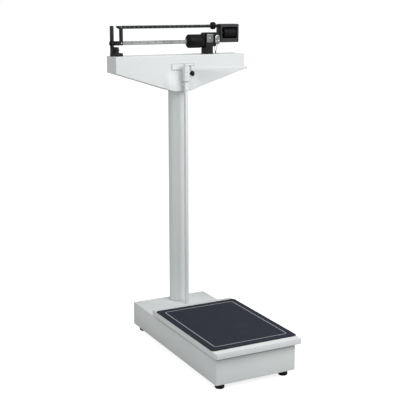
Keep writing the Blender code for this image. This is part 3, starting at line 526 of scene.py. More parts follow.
# --------------------------------------------------------------- geometry nodes
def geometry_tree(name, *inputs):
    """An empty geometry tree with its own inputs, then the material."""
    return new_tree("GeometryNodeTree", name, [*inputs, ("Material", MATERIAL, None)], [("Geometry", GEOMETRY)])


def end_tree(tree, given, result, points, instance, **settings):
    """Puts an instance at each point, makes it real and paints it, at the end of each tree."""
    inputs = {"Points": points, "Instance": instance, **settings}
    placed = add(tree, "GeometryNodeInstanceOnPoints", inputs).outputs[0]
    real = add(tree, "GeometryNodeRealizeInstances", {0: placed}).outputs[0]
    paint = add(tree, "GeometryNodeSetMaterial", {"Geometry": real, "Material": given["Material"]})
    feed(tree, result["Geometry"], paint.outputs[0])
    return tree


def cylinder(tree, sides, radius, depth):
    """A cylinder's mesh."""
    inputs = {"Vertices": sides, "Radius": radius, "Depth": depth}
    return add(tree, "GeometryNodeMeshCylinder", inputs).outputs["Mesh"]


def moved(tree, geometry, offset):
    """A geometry moved by an offset."""
    return add(tree, "GeometryNodeTransform", {"Geometry": geometry, "Translation": offset}).outputs[0]


def scale_marks_tree():
    """Marks along a scale: short ones, and a long one at every so many."""
    tree, given, result = geometry_tree(
        "scale_marks", ("Count", INT, 11), ("Pitch", FLOAT, 0.01), ("Width", FLOAT, 0.0006),
        ("Short", FLOAT, 0.003), ("Long", FLOAT, 0.006), ("Every", INT, 5), ("Depth", FLOAT, 0.0002))
    line = add(tree, "GeometryNodeMeshLine", {
        "Count": given["Count"], "Offset": combine(tree, X=given["Pitch"])}).outputs[0]
    index = add(tree, "GeometryNodeInputIndex").outputs[0]
    is_long = math_node(tree, "LESS_THAN", math_node(tree, "MODULO", index, given["Every"]), 0.5)
    extra = math_node(tree, "SUBTRACT", given["Long"], given["Short"])
    height = math_node(tree, "ADD", given["Short"], math_node(tree, "MULTIPLY", is_long, extra))
    cube = moved(tree, add(tree, "GeometryNodeMeshCube").outputs["Mesh"], (0, 0, 0.5))
    size = combine(tree, X=given["Width"], Y=given["Depth"], Z=height)
    return end_tree(tree, given, result, line, cube, Scale=size)


def ring_ribs_tree():
    """Ribs round a rim, along its axis."""
    tree, given, result = geometry_tree(
        "ring_ribs", ("Count", INT, 36), ("Radius", FLOAT, 0.01), ("Rib", FLOAT, 0.0006), ("Length", FLOAT, 0.006))
    ring = add(tree, "GeometryNodeMeshCircle", {"Vertices": given["Count"], "Radius": given["Radius"]}).outputs[0]
    return end_tree(tree, given, result, ring, cylinder(tree, 8, given["Rib"], given["Length"]))


def screw_heads_tree():
    """Flat heads with a slot at a random angle, at each point of the piece's own mesh."""
    tree, given, result = geometry_tree(
        "screw_heads", ("Points", GEOMETRY, None), ("Radius", FLOAT, 0.004), ("Height", FLOAT, 0.0016),
        ("Slot", FLOAT, 0.0009), ("Seed", INT, 7))
    radius, height = given["Radius"], given["Height"]
    head = cylinder(tree, 24, radius, height)
    size = combine(tree, X=math_node(tree, "MULTIPLY", radius, 3.0), Y=given["Slot"], Z=height)
    slot = add(tree, "GeometryNodeMeshCube", {"Size": size}).outputs["Mesh"]
    slot = moved(tree, slot, combine(tree, Z=math_node(tree, "MULTIPLY", height, 0.55)))
    cut = add(tree, "GeometryNodeMeshBoolean", {"Mesh 1": head, "Mesh 2": slot}, operation="DIFFERENCE")
    angle = add(tree, "FunctionNodeRandomValue", {2: 0.0, 3: math.pi, "Seed": given["Seed"]}, data_type="FLOAT")
    return end_tree(tree, given, result, given["Points"], cut.outputs["Mesh"],
                    Rotation=combine(tree, Z=angle.outputs[1]))


def hex_heads_tree():
    """Six-sided heads on washers, at each point of the piece's own mesh."""
    tree, given, result = geometry_tree(
        "hex_heads", ("Points", GEOMETRY, None), ("Radius", FLOAT, 0.007), ("Height", FLOAT, 0.005),
        ("Washer", FLOAT, 0.009))
    head = cylinder(tree, 6, given["Radius"], given["Height"])
    drop = combine(tree, Z=math_node(tree, "MULTIPLY", given["Height"], -0.5))
    washer = moved(tree, cylinder(tree, 28, given["Washer"], 2 * HALF_WASHER), drop)
    both = add(tree, "GeometryNodeJoinGeometry", {0: head})
    feed(tree, both.inputs[0], washer)
    return end_tree(tree, given, result, given["Points"], both.outputs[0])


HALF_WASHER = 0.0006
HEAD_EDGE = 0.0002
SCALE_MARKS = scale_marks_tree()
RING_RIBS = ring_ribs_tree()
SCREW_HEADS = screw_heads_tree()
HEX_HEADS = hex_heads_tree()


def grown(tree, material, points=((0, 0, 0),), turn=Matrix.Identity(4), **values):
    """The mesh that a geometry tree makes from some points, then turned and placed."""
    seed = bpy.data.meshes.new("points")
    seed.from_pydata([Vector(p) for p in points], [], [])
    thing = in_scene("grown", seed)
    step = thing.modifiers.new("grow", "NODES")
    step.node_group = tree
    values["material"] = material
    for item in tree.interface.items_tree:
        if item.in_out == "INPUT" and item.name.lower() in values:
            step[item.identifier] = values[item.name.lower()]
    mesh = applied(thing)
    bpy.data.objects.remove(thing, do_unlink=True)
    mesh.transform(turn)
    return mesh


def scale_marks(name, start, along, up, material, body, **values):
    """Scale marks that begin at a point and run along a direction; up is where the long ones reach."""
    out = Vector(along).cross(Vector(up))
    turn = Matrix((Vector(along), -out, Vector(up))).transposed().to_4x4()
    piece(name, grown(SCALE_MARKS, material, turn=Matrix.Translation(start) @ turn, **values), material, body)


def heads(name, tree, points, facing, **values):
    """Steel screw or bolt heads at points of the frame, all facing one way."""
    turn = Vector((0, 0, 1)).rotation_difference(Vector(facing)).to_matrix().to_4x4()
    local = [turn.inverted() @ Vector(p) for p in points]
    piece(name, grown(tree, STEEL, local, turn, **values), STEEL, "frame", bevel=HEAD_EDGE)


def numerals(name, values, size, places, material, body):
    """Plain numbers at places, standing upright and facing the front."""
    meshes = []
    for text, place in zip(values, places):
        curve = bpy.data.curves.new("number", "FONT")
        curve.body = str(text)
        curve.size = size
        curve.align_x = curve.align_y = "CENTER"
        curve.extrude = INK / 2
        meshes.append(drawn_mesh(curve, SEAM, Matrix.Translation(place) @ PLANES["XZ"]))
    piece(name, joined(meshes, name), material, body)


# ------------------------------------------------------------------------- base
CASTING_EDGE = 0.0008
GRIP_LEVELS = (0.0175, 0.0140, 0.0105, 0.0070)
BASE_SHEET = 0.0024


def make_base():
    """Sheet-steel base, its feet and what hangs inside it."""
    refined("base_shell", "base_box", WHITE, "frame")
    for corner in ("front_left", "front_right", "rear_left", "rear_right"):
        make_foot(corner)
    refined("front_cradle_casting", "front_lever_cradle", IRON, "frame", CASTING_EDGE)
    refined("rear_cradle_casting", "rear_lever_cradle", IRON, "frame", CASTING_EDGE)
    refined("long_lever_casting", "long_lever", IRON, "long_lever")
    refined("lever_link_strap", "lever_link", STEEL, "long_lever", 0.0006)
    refined("short_lever_casting", "short_lever", IRON, "short_lever")


def make_foot(corner):
    """A rubber foot with grip grooves, and the hexagon head of its bolt."""
    low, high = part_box(f"foot_{corner}")
    x, y = (low.x + high.x) / 2, (low.y + high.y) / 2
    radius, top = (high.x - low.x) / 2, high.z
    chamfer, groove = 0.0008, 0.0009
    hole, hole_top = 0.0058, 0.0054
    profile = [(0, top), (radius - chamfer, top), (radius, top - chamfer)]
    profile += groove_points(radius, GRIP_LEVELS, groove, -groove, -groove / 2)
    profile += [(radius, 0.0030), (radius - 0.0006, 0.0012), (radius - 0.002, 0.0), (hole + 0.0004, 0.0),
                (hole, 0.0006), (hole, hole_top), (0, hole_top)]
    piece(f"foot_pad_{corner}", lathe_mesh(profile, (x, y, 0), steps=56), FOOT_RUBBER, "frame", (f"foot_{corner}",))
    bolt_low, bolt_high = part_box(f"foot_bolt_{corner}")
    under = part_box("base_box")[0].z + BASE_SHEET
    height = bolt_high.z - under - HALF_WASHER
    heads(f"foot_bolt_head_{corner}", HEX_HEADS, [(x, y, under + HALF_WASHER + height / 2)], (0, 0, 1),
          radius=0.0072, height=height, washer=0.0074)
    bolt = 0.0038
    shank = lathe_mesh([(0, under), (bolt, under), (bolt, bolt_low.z + 0.0004), (0, bolt_low.z)], (x, y, 0))
    piece(f"foot_bolt_shank_{corner}", shank, STEEL, "frame", (f"foot_bolt_{corner}",))


def make_platform():
    """Folded cover with its corner seams, the mat and its inlaid border line."""
    refined("platform_ladder", "platform_carrier", IRON, "platform", CASTING_EDGE)
    refined("platform_pan", "platform_cover", WHITE, "platform")
    low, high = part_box("platform_mat")
    mat_radius, border_radius, steps = 0.012, 0.013, 8
    thinner, line, line_depth = 0.00015, 0.0030, 0.0004
    from_side, from_end = 0.0262, 0.0300
    outline = rounded_box((low.x, low.y), (high.x, high.y), mat_radius, steps)
    mat = plate_mesh([outline], high.z - low.z - thinner, (0, 0, (low.z + high.z) / 2 - 0.00007), round_edge=0.0009)
    piece("mat_sheet", mat, MAT_RUBBER, "platform", ("platform_mat",))
    ring = [rounded_box((low.x + from_side + inset, low.y + from_end + inset),
                        (high.x - from_side - inset, high.y - from_end - inset), border_radius - inset, steps)
            for inset in (0, line)]
    border = plate_mesh(ring, line_depth, (0, 0, high.z - line_depth / 2))
    piece("mat_border_line", border, BORDER_INK, "platform")
    low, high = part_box("platform_cover")
    inset, half, depth = 0.0032, 0.0004, 0.0008
    seams = [box_mesh((x - half, low.y, low.z + 0.001), (x + half, low.y + depth, high.z - 0.004))
             for x in (low.x + inset, high.x - inset)]
    piece("cover_corner_seams", joined(seams, "seams"), DARK_LINE, "platform")


# ----------------------------------------------------------------------- column
PIPE_WALL, PIPE_STEPS = 0.0025, 96


def make_column():
    """The round column, its bead of paint at the shelf, and the clamp flange."""
    low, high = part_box("column_tube")
    centre = (low + high) / 2
    place = (centre.x, centre.y, 0)
    radius = (high.x - low.x) / 2
    bore, chamfer = radius - PIPE_WALL, 0.0008
    profile = [(bore, high.z), (radius - chamfer, high.z), (radius, high.z - chamfer), (radius, low.z + chamfer),
               (radius - chamfer, low.z), (bore, low.z), (bore, high.z)]
    piece("column_pipe", lathe_mesh(profile, place, steps=PIPE_STEPS), WHITE, "frame", ("column_tube",))
    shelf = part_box("base_box")[1].z
    bead, sweep, off = 0.0022, 0.0021, 0.0001
    profile = [(radius + off, shelf + bead)]
    profile += [(radius + bead - sweep * math.sin(a), shelf + bead - sweep * math.cos(a))
                for a in map(math.radians, (75, 60, 45, 30, 15, 0))]
    profile += [(radius + off, shelf + off), (radius + off, shelf + bead)]
    piece("column_paint_bead", lathe_mesh(profile, place, steps=PIPE_STEPS), WHITE, "frame")
    refined("column_clamp_flange", "column_flange", IRON, "frame", CASTING_EDGE)
    studs = []
    for number in (1, 2):
        stud = middle(f"column_stud_{number}")
        studs.append((stud.x, stud.y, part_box(f"column_stud_{number}")[0].z + 0.0030))
        refined(f"column_stud_shank_{number}", f"column_stud_{number}", STEEL, "frame")
    heads("column_stud_heads", HEX_HEADS, studs, (0, 0, -1), radius=0.0078, height=0.0052, washer=0.0095)


# ------------------------------------------------------------------------- head
NECK_Z, NECK_HALF = 1.081, 0.040
WING_Z = 1.164
SHEET = 0.002
FRONT_FROM_AXIS = 0.0514
HOOD_DEPTH = 0.0098
HOOD_HALF, HOOD_SIDE = 0.092, 0.032
HOOD_TOP_Z, HOOD_RISE = 1.178, 0.082
STATIONS, FINE_STATIONS, FINE_PITCH = 40, 26, 0.004
LEVELS, LEVEL_EASE = 30, 0.35


def ease(value):
    """A smooth step from 0 to 1."""
    value = min(1.0, max(0.0, value))
    return value * value * (3 - 2 * value)


def wing_low(x, left, right, axis_x):
    """The height of the housing's lower edge at a place along it."""
    if x < axis_x - NECK_HALF:
        return WING_Z + (NECK_Z - WING_Z) * (x - left) / (axis_x - NECK_HALF - left)
    if x > axis_x + NECK_HALF:
        return NECK_Z + (WING_Z - NECK_Z) * (x - axis_x - NECK_HALF) / (right - axis_x - NECK_HALF)
    return NECK_Z


def housing_sheet(left, right, top, rear, axis):
    """The housing's front and sides as one sheet, pressed out round the column."""
    stations = sorted(
        {left, right, axis.x - NECK_HALF, axis.x + NECK_HALF}
        | {left + (right - left) * i / STATIONS for i in range(1, STATIONS)}
        | {axis.x + FINE_PITCH * i for i in range(-FINE_STATIONS, FINE_STATIONS + 1)})
    levels = [ease(i / LEVELS) * LEVEL_EASE + (1 - LEVEL_EASE) * i / LEVELS for i in range(LEVELS + 1)]
    bm = bmesh.new()
    columns = []
    for x in stations:
        bottom = wing_low(x, left, right, axis.x)
        across = ease((HOOD_HALF - abs(x - axis.x)) / HOOD_SIDE)
        column = []
        for level in levels:
            z = bottom + (top - bottom) * level
            out = HOOD_DEPTH * across * ease((HOOD_TOP_Z - z) / HOOD_RISE)
            column.append(bm.verts.new((x, axis.y - FRONT_FROM_AXIS - out, z)))
        columns.append(column)
    for near, far in zip(columns, columns[1:]):
        for i in range(LEVELS):
            bm.faces.new((near[i], far[i], far[i + 1], near[i + 1]))
    band = bmesh.ops.extrude_edge_only(bm, edges=[e for e in bm.edges if len(e.link_faces) == 1])
    for vertex in (g for g in band["geom"] if isinstance(g, bmesh.types.BMVert)):
        vertex.co.y = rear
    bmesh.ops.recalc_face_normals(bm, faces=bm.faces)
    if sum(f.normal.y * f.calc_area() for f in bm.faces) > 0:
        bmesh.ops.reverse_faces(bm, faces=bm.faces)
    mesh = bpy.data.meshes.new("housing")
    bm.to_mesh(mesh)
    bm.free()
    return mesh


def make_head_housing():
    """The V-shaped housing with its openings, and its rear panel."""
    low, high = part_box("head_back_cover")
    axis = middle("column_tube")
    folded = in_scene("housing", housing_sheet(low.x, high.x, high.z, low.y - 0.0003, axis))
    fold = folded.modifiers.new("folds", "BEVEL")
    fold.width = 0.0028
    fold.segments = 3
    fold.limit_method = "ANGLE"
    fold.angle_limit = math.radians(50)
    wall = folded.modifiers.new("wall", "SOLIDIFY")
    wall.thickness = SHEET
    wall.offset = -1
    mesh = applied(folded)
    bpy.data.objects.remove(folded, do_unlink=True)
    pipe_low, pipe_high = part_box("column_tube")
    radius, reach = (pipe_high.x - pipe_low.x) / 2 + 0.0006, 0.02
    ends = (NECK_Z + reach, NECK_Z - reach)
    neck = lathe_mesh([(0, ends[0]), (radius, ends[0]), (radius, ends[1]), (0, ends[1])], (axis.x, axis.y, 0), steps=72)
    rod = middle("connecting_rod")
    half_x, half_y = 0.013, 0.012
    slot = plate_mesh([rounded_box((rod.x - half_x, rod.y - half_y), (rod.x + half_x, rod.y + half_y), 0.004)],
                      reach, (0, 0, high.z))
    piece("head_shell", carved(mesh, neck, slot), WHITE, "frame", ("head_housing",))
    refined("head_rear_panel", "head_back_cover", WHITE, "frame")
    screws = []
    for number in (1, 2):
        place = middle(f"back_cover_screw_{number}")
        screws.append((place.x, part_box(f"back_cover_screw_{number}")[1].y - 0.0010, place.z))
        refined(f"rear_screw_shank_{number}", f"back_cover_screw_{number}", STEEL, "frame")
    heads("rear_panel_screw_heads", SCREW_HEADS, screws, (0, 1, 0), radius=0.0042, height=0.0018, slot=0.0009, seed=3)


def make_label():
    """A blank plate with a thin dark outline and a pin at each end."""
    low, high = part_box("label_plate")
    plate = node_plate(low, high, [rounded_front(low, high, 0.0035)], round_edge=0.0003)
    piece("label_blank", plate, LABEL_FACE, "frame", ("label_plate",))
    inset, line, proud = 0.0012, 0.0011, 0.0001
    ring = [rounded_front(low, high, 0.0028, inset), rounded_front(low, high, 0.0018, inset + line)]
    piece("label_outline", plate_mesh(ring, 0.0003, (0, low.y - proud, 0), "XZ"), DARK_LINE, "frame")
    from_end = 0.006
    pins = [(x, low.y - 0.0003, (low.z + high.z) / 2) for x in (low.x + from_end, high.x - from_end)]
    heads("label_pins", SCREW_HEADS, pins, (0, -1, 0), radius=0.0016, height=0.0008, slot=0.0004, seed=1)


def make_inside_of_head():
    """The saddle, the transfer lever's stand and what moves inside the head."""
    edge = 0.0006
    refined("saddle_casting", "column_saddle", IRON, "frame", edge)
    refined("transfer_stand_casting", "transfer_fulcrum_stand", IRON, "frame", edge)
    refined("transfer_lever_bar", "transfer_lever", IRON, "transfer_lever", edge)
    refined("draft_rod_steel", "draft_rod", STEEL, "draft_rod")
    refined("shackle_ring", "shackle", STEEL, "shackle", 0.0005)
    refined("connecting_wire", "connecting_rod", ALUMINIUM, "shackle")


def make_fulcrum():
    """The black fork under the beam, and its two bearing plates with their screws and pivot caps."""
    refined("fulcrum_fork", "fulcrum_stand", BLACK, "frame", 0.0010, 3)
    pivot = middle("main_knife_edge")
    round_edge, from_side, from_top = 0.0005, 0.0042, 0.0045
    for where, face, outward in (("front", 0, -1), ("rear", 1, 1)):
        low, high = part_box(f"bearing_plate_{where}")
        plate = node_plate(low, high, [rounded_front(low, high, 0.0025)], round_edge=round_edge)
        piece(f"bearing_cover_{where}", plate, STEEL, "frame", (f"bearing_plate_{where}",))
        surface = (low, high)[face].y
        corners = [(x, surface + outward * round_edge, z) for x in (low.x + from_side, high.x - from_side)
                   for z in (low.z + from_top, high.z - from_top)]
        heads(f"bearing_cover_screws_{where}", SCREW_HEADS, corners, (0, outward, 0),
              radius=0.0019, height=0.0010, slot=0.0005, seed=5)
        cap = [(radius, outward * height) for radius, height in (
            (0, 0.0016), (0.0036, 0.0015), (0.0048, 0.0009), (0.0052, 0.0), (0, 0.0))]
        piece(f"pivot_cap_{where}", lathe_mesh(cap, (pivot.x, surface, pivot.z), "Y", 40), STEEL, "frame")


def make_trig():
    """The loop round the pointer, its bracket and the locking cam."""
    refined("trig_loop_post", "trig_loop", BLACK, "frame", 0.0008)
    refined("trig_bracket_block", "trig_bracket", BLACK, "frame", 0.0010)
    refined("lock_cam_lever", "lock_cam", BLACK, "lock_cam", 0.0004)
    low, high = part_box("trig_bracket")
    inset = 0.008
    screws = [(high.x - inset, y + (low.y + high.y) / 2, low.z + 0.0137) for y in (-inset, inset)]
    heads("trig_bracket_screws", SCREW_HEADS, screws, (0, 0, 1), radius=0.0028, height=0.0014, slot=0.0007, seed=2)


# ------------------------------------------------------------------------- beam
LOWER_TRAVEL, LOWER_STEPS, LOWER_UNIT = 0.299, 8, 20
UPPER_TRAVEL, UPPER_STEPS = 0.418, 20
MARKS_A_STEP = 10
INK = 0.00012
NOTCH_DEPTH, NOTCH_HALF = 0.0016, 0.0012


def notched_bar(low, high, notches):
    """The side outline of the lower bar, with a V notch at each place."""
    outline = [(low.x, low.z), (high.x, low.z), (high.x, high.z)]
    for x in sorted(notches, reverse=True):
        outline += [(x + NOTCH_HALF, high.z), (x, high.z - NOTCH_DEPTH), (x - NOTCH_HALF, high.z)]
    return outline + [(low.x, high.z)]


def make_beam():
    """Castings, bars with their marks and numbers, and the counterweight frame."""
    refined("beam_end_piece", "beam_end_casting", BLACK, "beam", 0.0012, 3)
    refined("beam_centre_piece", "beam_centre_casting", BLACK, "beam", 0.0014, 3)
    refined("pointer_tip", "pointer", BLACK, "beam", 0.0008)
    refined("main_knife", "main_knife_edge", STEEL, "beam")
    refined("load_knife", "load_knife_edge", STEEL, "beam")
    for name in ("rivet_lower", "rivet_upper"):
        low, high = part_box(name)
        centre, radius = (low + high) / 2, (high.x - low.x) / 2
        dome = [(0, -0.0012), (radius * 0.45, -0.0011), (radius * 0.8, -0.0007), (radius, 0.0), (0, 0.0)]
        piece(f"{name}_dome", lathe_mesh(dome, (centre.x, high.y, centre.z), "Y", 32), STEEL, "beam", (name,))
    make_bars()
    make_counterweight()


def make_bars():
    """Lower bar in steel with notches, upper bar in black, both with marks and numbers."""
    low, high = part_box("lower_bar")
    pitch = LOWER_TRAVEL / LOWER_STEPS
    zero = middle("poise_pawl").x
    places = [zero - pitch * i for i in range(LOWER_STEPS + 1)]
    piece("lower_bar_steel", node_plate(low, high, [notched_bar(low, high, places)]), BAR_STEEL, "beam", ("lower_bar",))
    ink_y = low.y - INK / 2
    scale_marks("lower_bar_marks", (zero, ink_y, low.z + 0.0005), (-1, 0, 0), (0, 0, 1), BLACK_INK, "beam",
                count=LOWER_STEPS * MARKS_A_STEP + 1, pitch=pitch / MARKS_A_STEP, width=0.0005, short=0.0026,
                long=0.0055, every=MARKS_A_STEP, depth=INK)
    numerals("lower_bar_numbers", [LOWER_UNIT * i for i in range(LOWER_STEPS + 1)], 0.0065,
             [(x, ink_y, low.z + 0.0103) for x in places], BLACK_INK, "beam")
    low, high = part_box("upper_bar")
    outline = [(low.x, low.z), (high.x, low.z), (high.x, high.z), (low.x, high.z)]
    piece("upper_bar_black", node_plate(low, high, [outline], round_edge=0.0004), BLACK, "beam", ("upper_bar",))
    pitch = UPPER_TRAVEL / UPPER_STEPS
    zero = middle("small_poise").x
    ink_y = low.y - INK / 2
    scale_marks("upper_bar_marks", (zero, ink_y, high.z - 0.0006), (-1, 0, 0), (0, 0, -1), WHITE_INK, "beam",
                count=UPPER_STEPS * MARKS_A_STEP + 1, pitch=pitch / MARKS_A_STEP, width=0.0004, short=0.0022,
                long=0.0045, every=MARKS_A_STEP, depth=INK)
    numerals("upper_bar_numbers", range(UPPER_STEPS + 1), 0.0050,
             [(zero - pitch * i, ink_y, low.z + 0.0040) for i in range(UPPER_STEPS + 1)], WHITE_INK, "beam")


def make_counterweight():
    """The frame at the right end, the threaded screw in it and the weight on the screw."""
    low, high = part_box("counterweight_frame")
    weight_low, weight_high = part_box("balance_weight")
    axis = middle("balance_weight")
    bore, weight_bore, far = 0.0033, 0.0034, 0.1
    back = 0.0025
    window = rounded_box((low.x + 0.0060, low.z + 0.0172), (high.x - 0.0073, high.z - 0.0132), 0.0030)
    body = node_plate(low, high, [rounded_front(low, high, 0.0052)], round_edge=0.0012)
    pocket = plate_mesh([window], far, (0, high.y - back - far / 2, 0), "XZ")
    hole = lathe_mesh([(0, -far), (bore, -far), (bore, far), (0, far)],
                      ((low.x + high.x) / 2, axis.y, axis.z), "X", 24)
    piece("counterweight_yoke", carved(body, pocket, hole), FRAME_BLACK, "beam", ("counterweight_frame",))
    screw_low, screw_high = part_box("balance_screw")
    cap = 0.0006
    thread = threaded_rod(screw_low.x, screw_high.x - cap, axis.y, axis.z)
    piece("balance_screw_thread", thread, STEEL, "beam", ("balance_screw",))
    inner, chamfer, outer, width = 0.0027, 0.0046, 0.0050, 0.0030
    nut = [(inner, 0.0), (chamfer, 0.0), (outer, 0.0004), (outer, 0.0026), (chamfer, width), (inner, width),
           (inner, 0.0)]
    piece("balance_lock_nut", lathe_mesh(nut, (low.x + 0.0066, axis.y, axis.z), "X", 40), STEEL, "beam")
    disc = [(0, 0.0), (0.0055, 0.0), (0.0055, cap), (0, cap)]
    piece("balance_screw_cap", lathe_mesh(disc, (screw_high.x - cap, axis.y, axis.z), "X", 40), STEEL, "beam")
    radius, half = (weight_high.z - weight_low.z) / 2, (weight_high.x - weight_low.x) / 2
    profile = [(weight_bore, -half), (radius - 0.0018, -half), (radius - 0.0004, -half + 0.0006),
               (radius, -half + 0.0018)]
    profile += groove_points(radius, (-0.0118, 0.0118), 0.0008, 0.0009, 0.0004)
    profile += [(radius, half - 0.0018), (radius - 0.0004, half - 0.0006), (radius - 0.0018, half),
                (weight_bore, half), (weight_bore, -half)]
    piece("balance_drum", lathe_mesh(profile, axis, "X", 72), WEIGHT_BLACK, "balance_weight", ("balance_weight",))


THREAD_RADIUS, THREAD_ROOT, THREAD_PITCH = 0.0030, 0.0026, 0.0012
THREAD_SIDES, ROWS_A_TURN = 20, 6


def threaded_rod(start, stop, y, z):
    """A screw with a helical thread along X."""
    bm = bmesh.new()
    rows = int((stop - start) / THREAD_PITCH * ROWS_A_TURN)
    rings = []
    for row in range(rows + 1):
        x = start + (stop - start) * row / rows
        ring = []
        for i in range(THREAD_SIDES):
            phase = (x / THREAD_PITCH + i / THREAD_SIDES) % 1.0
            r = THREAD_ROOT + (THREAD_RADIUS - THREAD_ROOT) * (1 - abs(2 * phase - 1))
            angle = 2 * math.pi * i / THREAD_SIDES
            ring.append(bm.verts.new((x, y + r * math.cos(angle), z + r * math.sin(angle))))
        rings.append(ring)
    for near, far in zip(rings, rings[1:]):
        for i in range(THREAD_SIDES):
            j = (i + 1) % THREAD_SIDES
            bm.faces.new((near[i], near[j], far[j], far[i]))
    bm.faces.new(rings[0])
    bm.faces.new(rings[-1])
    return mesh_from(bm, "thread")


TUNNEL_PLAY, TUNNEL_HALF = 0.0006, 0.06
DOME_START, DOME_STEP, DOME_RINGS = 74, 9.25, 9


def poise_mesh(node, bar, length, grooves, round_edge, dome=0.0):
    """A turned weight with grooves and, if asked, a domed left end, and the tunnel for its bar."""
    low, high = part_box(node)
    centre = (low + high) / 2
    radius = (high.z - low.z) / 2
    right = high.x - centre.x
    left = right - length
    inner = radius - round_edge
    if dome:
        bends = [math.radians(DOME_START - DOME_STEP * i) for i in range(DOME_RINGS)]
        profile = [(0, left - dome * math.sin(bends[0]))]
        profile += [(radius * math.cos(a), left - dome * math.sin(a)) for a in bends]
    else:
        profile = [(0, left), (inner, left)]
        profile += [(inner + round_edge * math.sin(a), left + round_edge - round_edge * math.cos(a))
                    for a in map(math.radians, (22, 45, 68, 90))]
    levels = [(left + right) / 2 + groove for groove in grooves]
    profile += groove_points(radius, levels, 0.0006, 0.0007, 0.0003)
    profile += [(inner + round_edge * math.cos(a), right - round_edge + round_edge * math.sin(a))
                for a in map(math.radians, (0, 22, 45, 68))]
    profile += [(inner, right), (0, right)]
    bar_low, bar_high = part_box(bar)
    tunnel = box_mesh((centre.x - TUNNEL_HALF, bar_low.y - TUNNEL_PLAY, bar_low.z - TUNNEL_PLAY),
                      (centre.x + TUNNEL_HALF, bar_high.y + TUNNEL_PLAY, bar_high.z + TUNNEL_PLAY))
    return lathe_mesh(profile, centre, "X", 72), tunnel


def make_poises():
    """The large poise on the lower bar and the small one on the upper bar."""
    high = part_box("large_poise")[1]
    body, tunnel = poise_mesh("large_poise", "lower_bar", 0.057, (), 0.0030, dome=0.0092)
    pawl_low, pawl_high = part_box("poise_pawl")
    play = 0.0005
    well = box_mesh((pawl_low.x - play, pawl_low.y - play, pawl_low.z - 0.002),
                    (pawl_high.x + play, pawl_high.y + play, high.z + 0.01))
    piece("large_poise_drum", carved(body, tunnel, well), WEIGHT_BLACK, "large_poise", ("large_poise",))
    refined("poise_pawl_steel", "poise_pawl", STEEL, "large_poise", 0.0005)
    low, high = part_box("small_poise")
    body, tunnel = poise_mesh("small_poise", "upper_bar", high.x - low.x, (-0.0035, 0.0035), 0.0015)
    piece("small_poise_drum", carved(body, tunnel), WEIGHT_BLACK, "small_poise", ("small_poise",))


# ------------------------------------------------------------------- height rod
def make_height_rod():
    """The square tube and its sliding rule, collar, knob, bracket and blade."""
    refined("height_tube_steel", "height_tube", WHITE, "frame", 0.0006)
    refined("height_rule_bar", "height_rule", ALUMINIUM, "height_rule", 0.0003)
    refined("rod_collar_sleeve", "rod_collar", WHITE, "frame")
    refined("rod_bracket_block", "rod_bracket", WHITE, "frame")
    refined("rule_head_block", "rule_head", WHITE, "height_rule")
    down, right = (0, 0, -1), (1, 0, 0)
    tube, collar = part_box("height_tube")[0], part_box("rod_collar")[0]
    rule_low, rule_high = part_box("height_rule")
    scale_marks("height_tube_marks", (tube.x + 0.0006, tube.y - INK / 2, collar.z - 0.002), down, right,
                DARK_LINE, "frame", count=2, pitch=0.0360, width=0.0020, short=0.0080, long=0.0095, every=2, depth=INK)
    scale_marks("rod_collar_marks", (collar.x + 0.0030, collar.y - INK / 2, collar.z + 0.0390), down, right,
                BORDER_INK, "frame", count=2, pitch=0.0205, width=0.0018, short=0.0080, long=0.0095, every=2, depth=INK)
    scale_marks("height_rule_marks", (rule_low.x + 0.0004, rule_low.y - 0.00005, rule_high.z - 0.010), down, right,
                BLACK_INK, "height_rule", count=96, pitch=0.0100, width=0.0005, short=0.0035, long=0.0070, every=10,
                depth=0.0001)
    make_knob()
    make_blade()


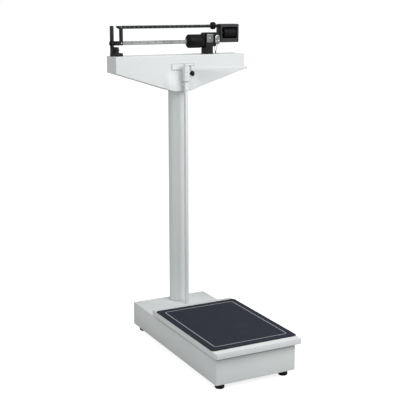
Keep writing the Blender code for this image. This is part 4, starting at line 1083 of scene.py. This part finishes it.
def make_knob():
    """A turned knob with ribs round its rim, on its clamp screw."""
    low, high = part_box("clamp_knob")
    centre = (low + high) / 2
    radius, face = (high.z - low.z) / 2, high.x
    screw, end = 0.0029, low.x - face
    profile = [(0, 0.0), (radius - 0.0040, -0.0003), (radius - 0.0018, -0.0014), (radius - 0.0006, -0.0040),
               (radius - 0.0006, -0.0102), (radius - 0.0014, -0.0124), (radius - 0.0036, -0.0142),
               (screw, -0.0145), (screw, end + 0.0004), (screw - 0.0005, end), (0, end)]
    body = lathe_mesh(profile, (face, centre.y, centre.z), "X")
    piece("clamp_knob_body", body, KNOB_BLACK, "clamp_knob", ("clamp_knob",))
    turn = Matrix.Translation((face - 0.0071, centre.y, centre.z)) @ TURNS["X"]
    ribs = grown(RING_RIBS, KNOB_BLACK, turn=turn, count=36, radius=radius - 0.0008, rib=0.0006, length=0.0058)
    piece("clamp_knob_ribs", ribs, KNOB_BLACK, "clamp_knob")


BLADE_ANGLE = math.radians(-12)
BLADE_LENGTH, BLADE_THICKNESS, BLADE_TALL, BLADE_CORNER = 0.250, 0.0030, 0.0145, 0.005
ROOT_START, ROOT_END, ROOT_THICKNESS = 0.0060, 0.0340, 0.0060


def make_blade():
    """The flat measuring blade with its round end and thick root, on the hub it swings about."""
    low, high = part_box("measuring_blade")
    head_low, head_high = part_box("rule_head")
    x, y = head_high.x - 0.0100, (head_low.y + head_high.y) / 2
    end = BLADE_LENGTH - BLADE_CORNER
    outline = [(ROOT_START, 0.0)]
    outline += arc((end, BLADE_CORNER), BLADE_CORNER, 270, 360, 6)
    outline += arc((end, BLADE_TALL - BLADE_CORNER), BLADE_CORNER, 0, 90, 6)
    outline += [(ROOT_START, BLADE_TALL)]
    flat = plate_mesh([outline], BLADE_THICKNESS, (x, y, low.z), "XZ", 0.0005, BLADE_ANGLE)
    bore, radius, chamfer = 0.0034, 0.0100, 0.0006
    sleeve = lathe_mesh([(bore, high.z), (radius - chamfer, high.z), (radius, high.z - chamfer),
                         (radius, low.z + chamfer), (radius - chamfer, low.z), (bore, low.z), (bore, high.z)],
                        (x, y, 0), steps=48)
    tall = high.z - low.z
    root = plate_mesh([[(ROOT_START, 0), (ROOT_END, 0), (ROOT_END, tall), (ROOT_START, tall)]],
                      ROOT_THICKNESS, (x, y, low.z), "XZ", 0.0006, BLADE_ANGLE)
    mesh = carved(carved(sleeve, flat, weld=True), root, weld=True)
    piece("blade_steel", mesh, WHITE, "blade", ("measuring_blade",))


for make in (set_camera, set_light, set_floor, make_base, make_platform, make_column, make_head_housing, make_label,
             make_inside_of_head, make_fulcrum, make_trig, make_beam, make_poises, make_height_rod):
    make()
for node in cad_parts.values():  # the CAD nodes behind the pieces take one plain finish
    for slot in node.material_slots:
        slot.link = "OBJECT"
        slot.material = IRON
